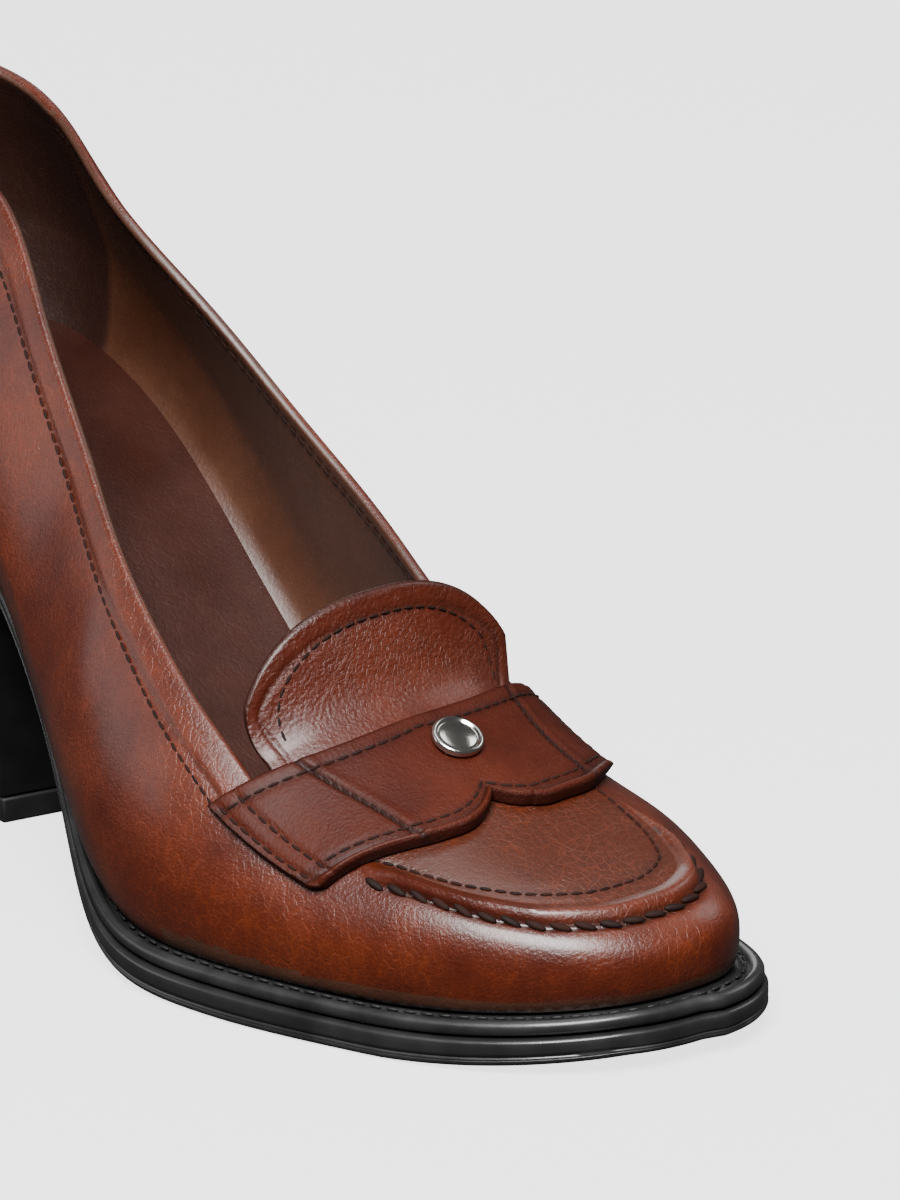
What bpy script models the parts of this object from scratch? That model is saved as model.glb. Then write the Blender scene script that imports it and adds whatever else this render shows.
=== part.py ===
"""Loafer pump for the right foot, about EU 38: upper, strap, tongue, insole, welt, sole and heel.

Sizes are in millimetres and become metres as each mesh is made. +X runs to the toe, +Y to the
wearer's left, which is the inner side of this right shoe, and +Z is up with the floor at zero.
"""

import math

import bmesh
import bpy
import numpy as np
from mathutils import Matrix, Vector

MM = 0.001
OBJECT_NAME = "loafer_pump"

# Sizes of the last that the upper is drawn over
HEEL_END = -3.0
TOE_END = 230.0
HEEL_CAP = 30.0
HEEL_ROUNDNESS = 2.1
TOE_CAP = 40.0
TOE_ROUNDNESS = 2.4
BACK_LEAN = 7.0
BACK_LEAN_FROM = 22.0
BACK_LEAN_REACH = 60.0
BACK_LEAN_SPAN = 40.0
# Share of the half width over which the outer crown turns into the inner one
CROWN_BLEND = 0.5

# One row per section: bottom height, half widths of the bottom, centre line, side bulge, height of the
# widest line, crown heights of the two sides and how square the section is
SECTION_COLUMNS = (
    "x", "bottom", "outer", "inner", "centre", "bulge", "widest", "crown_outer", "crown_inner", "square",
)
SECTIONS = (
    (-3, 80.7, 25.5, 25.5, 0.0, 3.5, 20.0, 83.0, 83.0, 1.2),
    (28, 75.8, 26.0, 26.0, 0.0, 3.5, 20.0, 79.1, 79.8, 1.2),
    (55, 66.0, 25.3, 24.8, 0.0, 4.0, 19.0, 67.5, 65.4, 1.2),
    (79, 49.3, 27.3, 23.8, -0.5, 5.0, 18.0, 74.0, 71.5, 1.3),
    (100, 31.0, 31.3, 25.3, -2.0, 5.0, 16.0, 75.0, 92.7, 1.45),
    (119, 17.3, 34.9, 29.3, -5.0, 4.5, 14.0, 69.7, 101.0, 1.7),
    (137, 10.3, 37.4, 34.3, -7.0, 3.5, 12.5, 60.9, 77.5, 1.8),
    (159, 8.7, 37.7, 36.7, -5.0, 3.0, 10.5, 44.2, 46.2, 2.1),
    (184, 8.4, 35.7, 34.0, 0.9, 2.6, 9.4, 30.7, 30.7, 2.0),
    (208, 8.9, 31.6, 25.0, 6.6, 1.8, 6.9, 22.4, 22.4, 2.9),
    (230, 11.2, 27.5, 21.8, 10.2, 1.5, 6.0, 17.0, 17.0, 2.6),
)

# Height of the collar edge over the bottom, for the outer and the inner side
THROAT_X = 165.0
THROAT_BOW = 7.0
COLLAR = (
    (-3, 53.5, 53.5),
    (12, 52.3, 51.8),
    (24, 52.3, 50.8),
    (40, 53.6, 50.6),
    (63, 53.0, 51.2),
    (80, 52.0, 51.8),
    (100, 52.1, 51.6),
    (120, 51.6, 51.8),
    (140, 45.2, 47.4),
    (160, 33.6, 33.6),
    (172, 24.5, 24.0),
)

# Upper wall and the raised seam of its apron
WALL = 1.8
UPPER_COLUMNS = 84
PATH_STEPS = 90
PATH_LOW_STEPS = 24
PATH_TOP_STEPS = 120
OUTLINE_STEPS = 800
SMOOTH_ANGLE = 40.0
MERGE_DISTANCE = 1e-7
LOWER_ROWS = 6
VAMP_ROWS = 6
RIDGE_PROFILE = ((-2.6, 0.0), (-1.3, 0.9), (0.0, 1.5), (1.3, 1.0), (2.6, 0.0))
# Share round the vamp from the outer to the inner throat corner, and the girth up from the bottom
APRON_RISE = (
    (0.0, 30.0),
    (0.12, 28.5),
    (0.18, 27.3),
    (0.25, 26.0),
    (0.32, 22.3),
    (0.39, 19.8),
    (0.47, 19.0),
    (0.55, 19.6),
    (0.61, 21.3),
    (0.66, 26.5),
    (0.71, 34.0),
    (0.8, 37.0),
    (1.0, 36.0),
)
# The seam's girth is at most this share of the way from the bottom to the edge
SEAM_MOST = 0.62
# Where the raised seam starts, stands full, and ends again under the strap
RIDGE_SPAN = ((0.19, 0.0), (0.24, 1.0), (0.66, 1.0), (0.71, 0.0))

# Strap over the vamp: share across from the outer end to the inner end, then x and turn round the section
# of its rear edge and of its front edge. A turn of -1 is the outer widest line, 0 the crown, +1 the inner
STRAP_COLUMNS = ("share", "rear_x", "rear_turn", "front_x", "front_turn")
STRAP = (
    (0.0, 158.3, -0.67, 182.6, -0.74),
    (0.12, 162.0, -0.53, 185.0, -0.60),
    (0.25, 165.5, -0.38, 189.2, -0.44),
    (0.36, 167.8, -0.24, 192.4, -0.30),
    (0.5, 168.7, -0.04, 194.0, -0.07),
    (0.64, 167.8, 0.15, 193.4, 0.10),
    (0.75, 165.5, 0.29, 191.8, 0.25),
    (0.88, 161.5, 0.47, 185.4, 0.46),
    (1.0, 157.0, 0.66, 177.5, 0.66),
)
STRAP_NOTCH = 5.2
STRAP_NOTCH_REACH = 0.1
STRAP_THICK = 1.7
STRAP_ACROSS = 40
# Share from the rear edge to the front edge and the lift of the rolled front edge there
STRAP_STEPS = (
    (0.0, 0.0), (0.2, 0.0), (0.4, 0.0), (0.6, 0.0), (0.8, 0.0), (0.9, 0.1), (0.95, 0.8), (1.0, 0.5),
)
STRAP_LIFT = 0.55
# Small steps that the slope of the surface is taken over
TURN_STEP = 0.02
X_STEP = 0.5

# Tongue: half widths of its foot, length along its middle, slopes it opens to in degrees and how far its
# sides spread as they rise
TONGUE_HALF_OUTER = 27.9
TONGUE_HALF_INNER = 26.4
TONGUE_MIDDLE = 0.4
TONGUE_LENGTH = 28.0
TONGUE_ROUNDNESS = 2.5
TONGUE_FLAT = 4.5
TONGUE_OPENING = 10.0
TONGUE_BACK = 0.8
TONGUE_SLOPE = 72.0
TONGUE_SIDE_SLOPE = 7.0
TONGUE_SPREAD_OUTER = 3.3
TONGUE_SPREAD_INNER = 6.0
TONGUE_THICK = 1.8
TONGUE_ACROSS = 24
TONGUE_ROWS = 6
TONGUE_STEPS = 40
TONGUE_SHARE = 0.992

# Plain stud on the strap
STUD_X = 176.2
STUD_TURN = 0.001
STUD_RADIUS = 4.8
STUD_HEIGHT = 1.6
STUD_SIDES = 24
# Share of the radius and of the height at each ring
STUD_PROFILE = ((0.9, 0.0), (1.0, 0.25), (1.0, 0.55), (0.85, 0.85), (0.5, 1.0))

# Bottom pieces
GAP = 0.35
INSOLE_THICK = 1.4
# How far the welt and the outsole stand out from the upper on the outer and the inner side, and how thick
# both are
EDGE_COLUMNS = ("x", "welt_outer", "welt_inner", "sole_outer", "sole_inner", "welt_thick", "sole_thick")
EDGE = (
    (-3, 1.2, 1.2, 1.4, 1.4, 1.6, 3.2),
    (70, 1.2, 1.2, 1.4, 1.4, 1.6, 3.2),
    (100, 1.6, 1.6, 2.0, 2.0, 1.9, 3.6),
    (125, 3.6, 3.4, 4.2, 4.0, 2.5, 4.8),
    (150, 4.2, 4.2, 5.0, 5.0, 2.7, 5.4),
    (190, 4.3, 4.8, 5.1, 5.5, 2.7, 5.5),
    (230, 4.6, 6.0, 5.4, 6.6, 2.7, 4.7),
)
BOTTOM_STATIONS = 44
# Share of the outsole's thickness and how far each step of its edge is drawn in
SOLE_EDGE = (
    (0.0, 0.9), (0.06, 0.25), (0.2, 0.0), (0.44, 0.1), (0.52, 0.6), (0.6, 0.2), (0.8, 0.0), (0.94, 0.5),
    (1.0, 1.6),
)
WELT_EDGE = ((0.0, 1.1), (0.35, 0.2), (0.7, 0.0), (1.0, 0.4))
INSOLE_EDGE = ((0.0, 0.4), (0.3, 0.0), (1.0, 0.0))

# Heel block
BREAST_TOP = 67.0
BREAST_FLOOR = 67.0
HEEL_BACK_FLOOR = 4.0
BREAST_SLANT = 0.2
HEEL_HALF_FLOOR = 22.5
LIFT_HEIGHT = 5.0
# Height of each step of the lift's edge and how far it is drawn in
LIFT_EDGE = ((LIFT_HEIGHT, 0.0), (0.6, 0.0), (0.0, 0.6))
HEEL_COLUMNS = 20
HEEL_LEVELS = 5


def spline(xs, ys):
    """Natural cubic through the points, held level past both ends."""
    xs = np.array(xs, float)
    ys = np.array(ys, float)
    count = len(xs)
    step = np.diff(xs)
    matrix = np.zeros((count, count))
    right = np.zeros(count)
    matrix[0, 0] = 1.0
    matrix[-1, -1] = 1.0
    for i in range(1, count - 1):
        matrix[i, i - 1] = step[i - 1]
        matrix[i, i] = 2.0 * (step[i - 1] + step[i])
        matrix[i, i + 1] = step[i]
        right[i] = 6.0 * ((ys[i + 1] - ys[i]) / step[i] - (ys[i] - ys[i - 1]) / step[i - 1])
    bend = np.linalg.solve(matrix, right)

    def value(x):
        x = np.clip(np.asarray(x, float), xs[0], xs[-1])
        i = np.clip(np.searchsorted(xs, x, side="right") - 1, 0, count - 2)
        a = xs[i + 1] - x
        b = x - xs[i]
        h = step[i]
        curve = (bend[i] * a**3 + bend[i + 1] * b**3) / (6.0 * h)
        return curve + (ys[i] / h - bend[i] * h / 6.0) * a + (ys[i + 1] / h - bend[i + 1] * h / 6.0) * b

    return value


def columns_of(rows, names):
    """One spline over x for each named column after the first."""
    xs = [row[0] for row in rows]
    return {name: spline(xs, [row[i] for row in rows]) for i, name in enumerate(names) if i}


LAST = columns_of(SECTIONS, SECTION_COLUMNS)
EDGES = columns_of(EDGE, EDGE_COLUMNS)
COLLAR_AT = columns_of(COLLAR, ("x", "outer", "inner"))


def toe_share(x):
    """How far x is into the rounded toe, from 0 to 1."""
    return np.clip((x - (TOE_END - TOE_CAP)) / TOE_CAP, 0.0, 1.0)


def heel_share(x):
    """How far x is into the rounded heel, from 0 to 1."""
    return np.clip((HEEL_END + HEEL_CAP - x) / HEEL_CAP, 0.0, 1.0)


def cap_factor(x):
    """Share of the full width that the rounded heel and toe leave at x."""
    heel = (1.0 - heel_share(x) ** HEEL_ROUNDNESS) ** (1.0 / HEEL_ROUNDNESS)
    toe = (1.0 - toe_share(x) ** TOE_ROUNDNESS) ** (1.0 / TOE_ROUNDNESS)
    return heel * toe


def full_half(x, side):
    """Half width of the widest line, before the caps; side is -1 outer, +1 inner."""
    return LAST["inner" if side > 0 else "outer"](x) + LAST["bulge"](x)


def drawn_x(x, inset):
    """x moved in with the outline, so that an inset outline keeps its rounded ends."""
    toe_start = TOE_END - TOE_CAP
    heel_start = HEEL_END + HEEL_CAP
    x = np.where(x > toe_start, toe_start + (x - toe_start) * (TOE_CAP - inset) / TOE_CAP, x)
    return np.where(x < heel_start, heel_start + (x - heel_start) * (HEEL_CAP - inset) / HEEL_CAP, x)


def lean(x, height):
    """How far the back curve leans forward at this height."""
    weight = np.clip((BACK_LEAN_REACH - x) / BACK_LEAN_REACH, 0.0, 1.0) ** 2
    rise = np.clip((height - BACK_LEAN_FROM) / BACK_LEAN_SPAN, 0.0, 1.5)
    return BACK_LEAN * weight * rise**2


def outline(x, side, inset):
    """Plan outline at an inset from the widest line, as x and y."""
    y = (full_half(x, side) - inset) * cap_factor(x)
    return drawn_x(x, inset), LAST["centre"](x) + side * y


def feather_inset(x):
    """Inset of the upper's foot from the widest line."""
    return LAST["bulge"](x)


def crown(x, side):
    """Height of the section's crown over the bottom."""
    return LAST["crown_inner" if side > 0 else "crown_outer"](x)


def crown_over(x, spread):
    """Crown height at a signed share of the half width, blended from side to side over the middle."""
    share = np.clip((spread / CROWN_BLEND + 1.0) / 2.0, 0.0, 1.0)
    weight = share**2 * (3.0 - 2.0 * share)
    return crown(x, -1) * (1.0 - weight) + crown(x, 1) * weight


def wall_point(x, side, height):
    """Point of the last's side at this height over its bottom."""
    widest = LAST["widest"](x)
    low = np.clip((widest - height) / widest, 0.0, 1.0)
    inset = LAST["bulge"](x) * (1.0 - np.sqrt(1.0 - low**2))
    power = LAST["square"](x)
    rise = np.clip((height - widest) / (crown(x, side) - widest), 0.0, 1.0)
    share = (1.0 - rise**power) ** (1.0 / power)
    px, _ = outline(x, side, inset)
    y = (full_half(x, side) - inset) * cap_factor(x) * share
    return np.stack([px + lean(x, height), LAST["centre"](x) + side * y, LAST["bottom"](x) + height], -1)


def top_point(x, y):
    """Point of the last over the plan position x, y."""
    across = y - LAST["centre"](x)
    side = np.where(across > 0, 1, -1)
    half = np.where(side > 0, full_half(x, 1), full_half(x, -1))
    spread = np.abs(across) / half
    radius = (spread**TOE_ROUNDNESS + toe_share(x) ** TOE_ROUNDNESS) ** (1.0 / TOE_ROUNDNESS)
    radius = np.where(toe_share(x) > 0, radius, spread)
    radius = np.clip(radius, 0.0, 1.0)
    power = LAST["square"](x)
    crown_height = crown_over(x, side * spread)
    widest = LAST["widest"](x)
    height = widest + (crown_height - widest) * (1.0 - radius**power) ** (1.0 / power)
    return np.stack([x + 0.0 * y, y + 0.0 * x, LAST["bottom"](x) + height], -1)


def resampled(points, places):
    """Points at these lengths along a line of points."""
    lengths = np.concatenate([[0.0], np.cumsum(np.linalg.norm(np.diff(points, axis=0), axis=1))])
    places = np.clip(places, 0.0, lengths[-1])
    return np.stack([np.interp(places, lengths, points[:, i]) for i in range(3)], -1)


def line_length(points):
    """Length of a line of points."""
    return float(np.linalg.norm(np.diff(points, axis=0), axis=1).sum())


def outline_stations(count, side):
    """Stations evenly spaced along the widest line of one side, from heel to toe."""
    turn = np.linspace(0.0, math.pi, OUTLINE_STEPS)
    x = HEEL_END + (TOE_END - HEEL_END) * (1.0 - np.cos(turn)) / 2.0
    px, py = outline(x, side, 0.0)
    lengths = np.concatenate([[0.0], np.cumsum(np.hypot(np.diff(px), np.diff(py)))])
    return np.interp(np.linspace(0.0, lengths[-1], count + 1), lengths, x)


def throat_point(share):
    """Plan position on the throat edge, from the outer corner at 0 to the inner corner at 1."""
    outer = wall_point(THROAT_X, -1, COLLAR_AT["outer"](THROAT_X))
    inner = wall_point(THROAT_X, 1, COLLAR_AT["inner"](THROAT_X))
    x = THROAT_X + THROAT_BOW * math.sin(math.pi * share)
    y = outer[1] + (inner[1] - outer[1]) * share
    return np.array([x, y])


def side_path(x, side):
    """Line up the wall from the bottom to the collar."""
    top = float(COLLAR_AT["inner" if side > 0 else "outer"](x))
    heights = np.linspace(0.0, top, PATH_STEPS)
    return wall_point(np.full(PATH_STEPS, x), side, heights)


def vamp_path(x, side, share):
    """Line from the bottom up over the toe and back to the throat."""
    heights = np.linspace(0.0, float(LAST["widest"](x)), PATH_LOW_STEPS)
    low = wall_point(np.full(PATH_LOW_STEPS, x), side, heights)
    start = np.array(outline(x, side, 0.0))
    goal = throat_point(share)
    along = np.linspace(0.0, 1.0, PATH_TOP_STEPS)[1:, None] ** 2
    plan = start + (goal - start) * along
    return np.concatenate([low, top_point(plan[:, 0], plan[:, 1])])


def ridge_strength(share):
    """The raised seam fades out under the strap at both ends."""
    return float(np.interp(share, *zip(*RIDGE_SPAN)))


def upper_columns():
    """Each column's path and its share round the vamp, once round the shoe."""
    half = UPPER_COLUMNS // 2
    outer = outline_stations(half, -1)
    inner = outline_stations(half, 1)
    walk = [(x, -1) for x in outer] + [(x, 1) for x in inner[-2:0:-1]]
    plan = np.array([outline(x, side, 0.0) for x, side in walk])
    steps = np.concatenate([[0.0], np.cumsum(np.hypot(*np.diff(plan, axis=0).T))])
    first = np.interp(THROAT_X, plan[: half + 1, 0], steps[: half + 1])
    last = np.interp(-THROAT_X, -plan[half:, 0], steps[half:])
    found = []
    for (x, side), length in zip(walk, steps):
        share = (length - first) / (last - first)
        if 0.0 < share < 1.0:
            found.append((vamp_path(x, side, share), share))
        else:
            found.append((side_path(x, side), share))
    return found


def upper_surface():
    """Grid of outer points, columns round the shoe by rows up from the bottom, and its lift for the seam."""
    rises, heights = zip(*APRON_RISE)
    grid = []
    lifts = []
    for path, share in upper_columns():
        length = line_length(path)
        seam = min(float(np.interp(share, rises, heights)), length * SEAM_MOST)
        low = np.linspace(0.0, seam + RIDGE_PROFILE[0][0], LOWER_ROWS + 1)[:-1]
        ridge = np.array([seam + offset for offset, _ in RIDGE_PROFILE])
        high = np.linspace(seam + RIDGE_PROFILE[-1][0], length, VAMP_ROWS + 1)[1:]
        places = np.concatenate([low, ridge, high])
        grid.append(resampled(path, places))
        strength = ridge_strength(share)
        bump = [strength * lift for _, lift in RIDGE_PROFILE]
        lifts.append([0.0] * LOWER_ROWS + bump + [0.0] * VAMP_ROWS)
    return np.array(grid), np.array(lifts)


def grid_normals(grid):
    """Outward normals of a grid that closes on itself along its first axis."""
    around = np.roll(grid, -1, axis=0) - np.roll(grid, 1, axis=0)
    up = np.gradient(grid, axis=1)
    normals = np.cross(up, around)
    normals /= np.linalg.norm(normals, axis=2)[:, :, None] + 1e-12
    inside = grid - np.array([110.0, 0.0, 0.0])
    inside[:, :, 2] = 0.0
    if (normals * inside).sum() < 0:
        normals = -normals
    return normals


def new_object(name, mesh, material):
    """Object of one closed mesh in the shoe's collection."""
    made = bpy.data.objects.new(name, mesh)
    mesh.materials.append(material)
    bpy.data.collections[OBJECT_NAME].objects.link(made)
    return made


def closed_mesh(name, points, faces):
    """Mesh in metres with outward faces, smooth but for its sharp edges."""
    mesh = bpy.data.meshes.new(name)
    mesh.from_pydata([tuple(p) for p in np.asarray(points) * MM], [], [tuple(f) for f in faces])
    work = bmesh.new()
    work.from_mesh(mesh)
    bmesh.ops.remove_doubles(work, verts=work.verts, dist=MERGE_DISTANCE)
    bmesh.ops.recalc_face_normals(work, faces=work.faces)
    for face in work.faces:
        face.smooth = True
    for edge in work.edges:
        edge.smooth = edge.calc_face_angle(0.0) < math.radians(SMOOTH_ANGLE)
    work.to_mesh(mesh)
    work.free()
    return mesh


def ring_faces(rings, size):
    """Quads between rings of the same size that follow one another."""
    faces = []
    for r in range(rings - 1):
        for i in range(size):
            j = (i + 1) % size
            faces.append((r * size + i, r * size + j, (r + 1) * size + j, (r + 1) * size + i))
    return faces


def make_upper(material):
    """Hollow upper: the outer grid, its inner copy one wall in, and the edges that join them."""
    outer, lifts = upper_surface()
    normals = grid_normals(outer)
    flat = normals[:, 0].copy()
    flat[:, 2] = 0.0
    flat /= np.linalg.norm(flat, axis=1)[:, None]
    normals[:, 0] = flat
    inner = outer - normals * WALL
    outer = outer + normals * lifts[:, :, None]
    outer[:, 0, 2] += GAP
    inner[:, 0, 2] += GAP
    columns, rows, _ = outer.shape
    outside = outer.transpose(1, 0, 2).reshape(-1, 3)
    inside = inner.transpose(1, 0, 2)[::-1].reshape(-1, 3)
    points = np.concatenate([outside, inside])
    faces = ring_faces(2 * rows, columns)
    last = (2 * rows - 1) * columns
    faces += [(last + i, last + (i + 1) % columns, (i + 1) % columns, i) for i in range(columns)]
    return new_object("upper", closed_mesh("upper", points, faces), material)


def bottom_stations():
    """Places along the shoe, closer together at both ends."""
    turn = np.linspace(0.0, math.pi, BOTTOM_STATIONS)
    return HEEL_END + (TOE_END - HEEL_END) * (1.0 - np.cos(turn)) / 2.0


def plate_mesh(name, profile, inset_of, top_of, thick_of):
    """Closed plate whose edge follows a profile of thickness shares and insets."""
    stations = bottom_stations()[1:-1]
    tips = np.array([HEEL_END, TOE_END])
    rings = []
    for share, draw in profile:
        ox, oy = outline(stations, -1, inset_of(stations, -1) + draw)
        ix, iy = outline(stations, 1, inset_of(stations, 1) + draw)
        tip_inset = (inset_of(tips, -1) + inset_of(tips, 1)) / 2.0 + draw
        tx, ty = outline(tips, 1, tip_inset)
        xs = np.concatenate([[tx[0]], ox, [tx[1]], ix[::-1]])
        ys = np.concatenate([[ty[0]], oy, [ty[1]], iy[::-1]])
        rings.append(np.stack([xs, ys, top_of(xs) - thick_of(xs) * share], -1))
    size = len(rings[0])
    faces = ring_faces(len(rings), size)
    faces += cap_faces(0, size)
    faces += cap_faces((len(rings) - 1) * size, size)
    return closed_mesh(name, np.concatenate(rings), faces)


def cap_faces(first, size):
    """Faces across a ring whose two sides pair up from its first point."""
    half = size // 2
    faces = [(first, first + 1, first + size - 1)]
    for i in range(1, half - 1):
        faces.append((first + i, first + i + 1, first + size - i - 1, first + size - i))
    faces.append((first + half - 1, first + half, first + half + 1))
    return faces


def edge_inset(piece, x, side):
    """Inset from the widest line that lets a bottom piece stand out from the upper's foot."""
    return feather_inset(x) - EDGES[piece + ("_inner" if side > 0 else "_outer")](x)


def sole_top(x):
    """Height of the outsole's upper face."""
    return LAST["bottom"](x) - EDGES["welt_thick"](x) - GAP


def sole_under(x):
    """Underside of the outsole, flat where the forefoot stands on the floor."""
    return np.maximum(sole_top(x) - EDGES["sole_thick"](x), 0.0)


def make_welt(material):
    """Thin plate under the upper that stands out as a ledge."""
    mesh = plate_mesh(
        "welt", WELT_EDGE, lambda x, side: edge_inset("welt", x, side), LAST["bottom"], EDGES["welt_thick"]
    )
    return new_object("welt", mesh, material)


def make_outsole(material):
    """Sole with two rounded bands on its edge."""
    mesh = plate_mesh(
        "outsole",
        SOLE_EDGE,
        lambda x, side: edge_inset("sole", x, side),
        sole_top,
        lambda x: sole_top(x) - sole_under(x),
    )
    return new_object("outsole", mesh, material)


def make_insole(material):
    """Sock that lies on the welt in the upper."""
    mesh = plate_mesh(
        "insole",
        INSOLE_EDGE,
        lambda x, side: feather_inset(x) + WALL + GAP,
        lambda x: LAST["bottom"](x) + GAP + INSOLE_THICK,
        lambda x: np.full_like(x, INSOLE_THICK),
    )
    return new_object("insole", mesh, material)


def section_point(x, turn):
    """Point of the last's section at x; turn runs from -1 at the outer widest line over 0 to +1."""
    side = np.where(turn > 0, 1, -1)
    angle = np.abs(turn) * math.pi / 2.0
    power = LAST["square"](x)
    half = np.where(side > 0, full_half(x, 1), full_half(x, -1))
    spread = side * np.sin(angle) ** (2.0 / power)
    crown_height = crown_over(x, spread)
    widest = LAST["widest"](x)
    y = LAST["centre"](x) + half * spread
    height = widest + (crown_height - widest) * np.maximum(np.cos(angle), 0.0) ** (2.0 / power)
    return np.stack([x + 0.0 * y, y, LAST["bottom"](x) + height], -1)


def section_normal(x, turn):
    """Outward normal of the last there."""
    across = section_point(x, turn + TURN_STEP) - section_point(x, turn - TURN_STEP)
    along = section_point(x + X_STEP, turn) - section_point(x - X_STEP, turn)
    normal = np.cross(along, across)
    return normal / np.linalg.norm(normal, axis=-1)[..., None]


def slab_mesh(name, top, bottom):
    """Closed slab between two grids of the same shape."""
    rows, columns, _ = top.shape
    size = rows * columns
    points = np.concatenate([top.reshape(-1, 3), bottom.reshape(-1, 3)])
    faces = []
    for r in range(rows - 1):
        for c in range(columns - 1):
            a = r * columns + c
            quad = (a, a + 1, a + columns + 1, a + columns)
            faces.append(quad)
            faces.append(tuple(size + i for i in reversed(quad)))
    edge = list(range(columns))
    edge += [r * columns + columns - 1 for r in range(1, rows)]
    edge += [(rows - 1) * columns + c for c in range(columns - 2, -1, -1)]
    edge += [r * columns for r in range(rows - 2, 0, -1)]
    for a, b in zip(edge, edge[1:] + edge[:1]):
        faces.append((a, b, size + b, size + a))
    return closed_mesh(name, points, faces)


def make_strap(material):
    """Saddle strap that lies just off the upper, with its rolled front edge."""
    at = columns_of(STRAP, STRAP_COLUMNS)
    share = np.linspace(0.0, 1.0, STRAP_ACROSS + 1)
    notch = STRAP_NOTCH * np.clip(1.0 - np.abs(share - 0.5) / STRAP_NOTCH_REACH, 0.0, 1.0) ** 2
    top = []
    bottom = []
    for along, lift in STRAP_STEPS:
        x = at["rear_x"](share) * (1.0 - along) + (at["front_x"](share) - notch) * along
        turn = at["rear_turn"](share) * (1.0 - along) + at["front_turn"](share) * along
        base = section_point(x, turn)
        normal = section_normal(x, turn)
        bottom.append(base + normal * STRAP_LIFT)
        top.append(base + normal * (STRAP_LIFT + STRAP_THICK + lift))
    return new_object("saddle_strap", slab_mesh("saddle_strap", np.array(top), np.array(bottom)), material)


def tongue_line(foot, behind, share, reach):
    """Points of the tongue from its foot up one line, a share across it from -1 to 1."""
    first = math.atan2(behind[2] - foot[2], TONGUE_FLAT)
    last = math.radians(TONGUE_SLOPE + TONGUE_SIDE_SLOPE * share**2)
    spread = TONGUE_SPREAD_INNER if share > 0 else TONGUE_SPREAD_OUTER
    points = []
    for row in range(TONGUE_ROWS + 1):
        along = reach * row / TONGUE_ROWS
        steps = np.linspace(0.0, along, TONGUE_STEPS)
        opened = np.clip((steps - TONGUE_FLAT) / TONGUE_OPENING, 0.0, 1.0)
        angle = first + (last - first) * opened
        back = float(np.cos(angle).mean()) * along
        up = float(np.sin(angle).mean()) * along
        out = spread * share * abs(share) * opened[-1]
        points.append((foot[0] - back, foot[1] + out, foot[2] + up))
    return points


def make_tongue(material):
    """Rounded flap that stands up from under the strap."""
    share = np.sin(np.linspace(-1.0, 1.0, TONGUE_ACROSS + 1) * math.pi / 2.0) * TONGUE_SHARE
    reach = TONGUE_LENGTH * (1.0 - np.abs(share) ** TONGUE_ROUNDNESS) ** (1.0 / TONGUE_ROUNDNESS)
    outer, inner = throat_point(0.0), throat_point(1.0)
    y = (outer[1] + inner[1]) / 2.0 + TONGUE_MIDDLE
    y = y + share * np.where(share > 0, TONGUE_HALF_INNER, TONGUE_HALF_OUTER)
    bow = np.sin(math.pi * (y - outer[1]) / (inner[1] - outer[1]))
    foot_x = THROAT_X + THROAT_BOW * bow - TONGUE_BACK
    foot = top_point(foot_x, y)
    behind = top_point(foot_x - TONGUE_FLAT, y)
    lines = [tongue_line(*line) for line in zip(foot, behind, share, reach)]
    top = np.array(lines).transpose(1, 0, 2)
    normal = np.cross(np.gradient(top, axis=1), np.gradient(top, axis=0))
    normal /= np.linalg.norm(normal, axis=2)[:, :, None]
    if normal[0, TONGUE_ACROSS // 2, 2] < 0:
        normal = -normal
    return new_object("tongue", slab_mesh("tongue", top, top - normal * TONGUE_THICK), material)


def heel_ring(level):
    """Ring of the heel block from its back round both sides to the breast."""
    turn = np.linspace(0.0, math.pi / 2.0, HEEL_COLUMNS)
    share = 1.0 - np.cos(turn)
    top_x = HEEL_END + (BREAST_TOP - HEEL_END) * share
    floor_back = HEEL_END + HEEL_BACK_FLOOR
    floor_x = floor_back + (BREAST_FLOOR - floor_back) * share
    draw = SOLE_EDGE[-1][1]
    sides = []
    for side in (-1, 1):
        px, py = outline(top_x, side, edge_inset("sole", top_x, side) + draw)
        px = px + BREAST_SLANT * py * share**2
        top = np.stack([px, py, sole_under(px) - GAP], -1)
        width = side * HEEL_HALF_FLOOR * cap_factor(top_x)
        slanted = floor_x + BREAST_SLANT * width * share**2
        floor = np.stack([slanted, width, np.full_like(width, LIFT_HEIGHT + GAP)], -1)
        sides.append(top * (1.0 - level) + floor * level)
    return np.concatenate([sides[0], sides[1][:0:-1]])


def paired_cap(first, size):
    """Faces across a ring that starts at its back and pairs its two sides, with a flat front."""
    half = (size - 1) // 2
    faces = [(first, first + 1, first + size - 1)]
    for i in range(1, half):
        faces.append((first + i, first + i + 1, first + size - i - 1, first + size - i))
    return faces


def make_heel(material):
    """Block heel that narrows a little towards the floor."""
    rings = [heel_ring(level) for level in np.linspace(0.0, 1.0, HEEL_LEVELS)]
    size = len(rings[0])
    faces = ring_faces(HEEL_LEVELS, size)
    faces += paired_cap(0, size)
    faces += paired_cap((HEEL_LEVELS - 1) * size, size)
    return new_object("heel", closed_mesh("heel", np.concatenate(rings), faces), material)


def make_heel_lift(material):
    """Top lift that the heel stands on, with an eased lower edge."""
    ring = heel_ring(1.0)
    rings = []
    for height, draw in LIFT_EDGE:
        middle = np.array([(ring[:, 0].min() + ring[:, 0].max()) / 2.0, 0.0, 0.0])
        level = ring.copy()
        level[:, 2] = 0.0
        out = level - middle
        level = middle + out * (1.0 - draw / np.linalg.norm(out, axis=1)[:, None])
        level[:, 2] = height
        rings.append(level)
    size = len(ring)
    faces = ring_faces(len(rings), size)
    faces += paired_cap(0, size)
    faces += paired_cap((len(rings) - 1) * size, size)
    return new_object("heel_lift", closed_mesh("heel_lift", np.concatenate(rings), faces), material)


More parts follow.
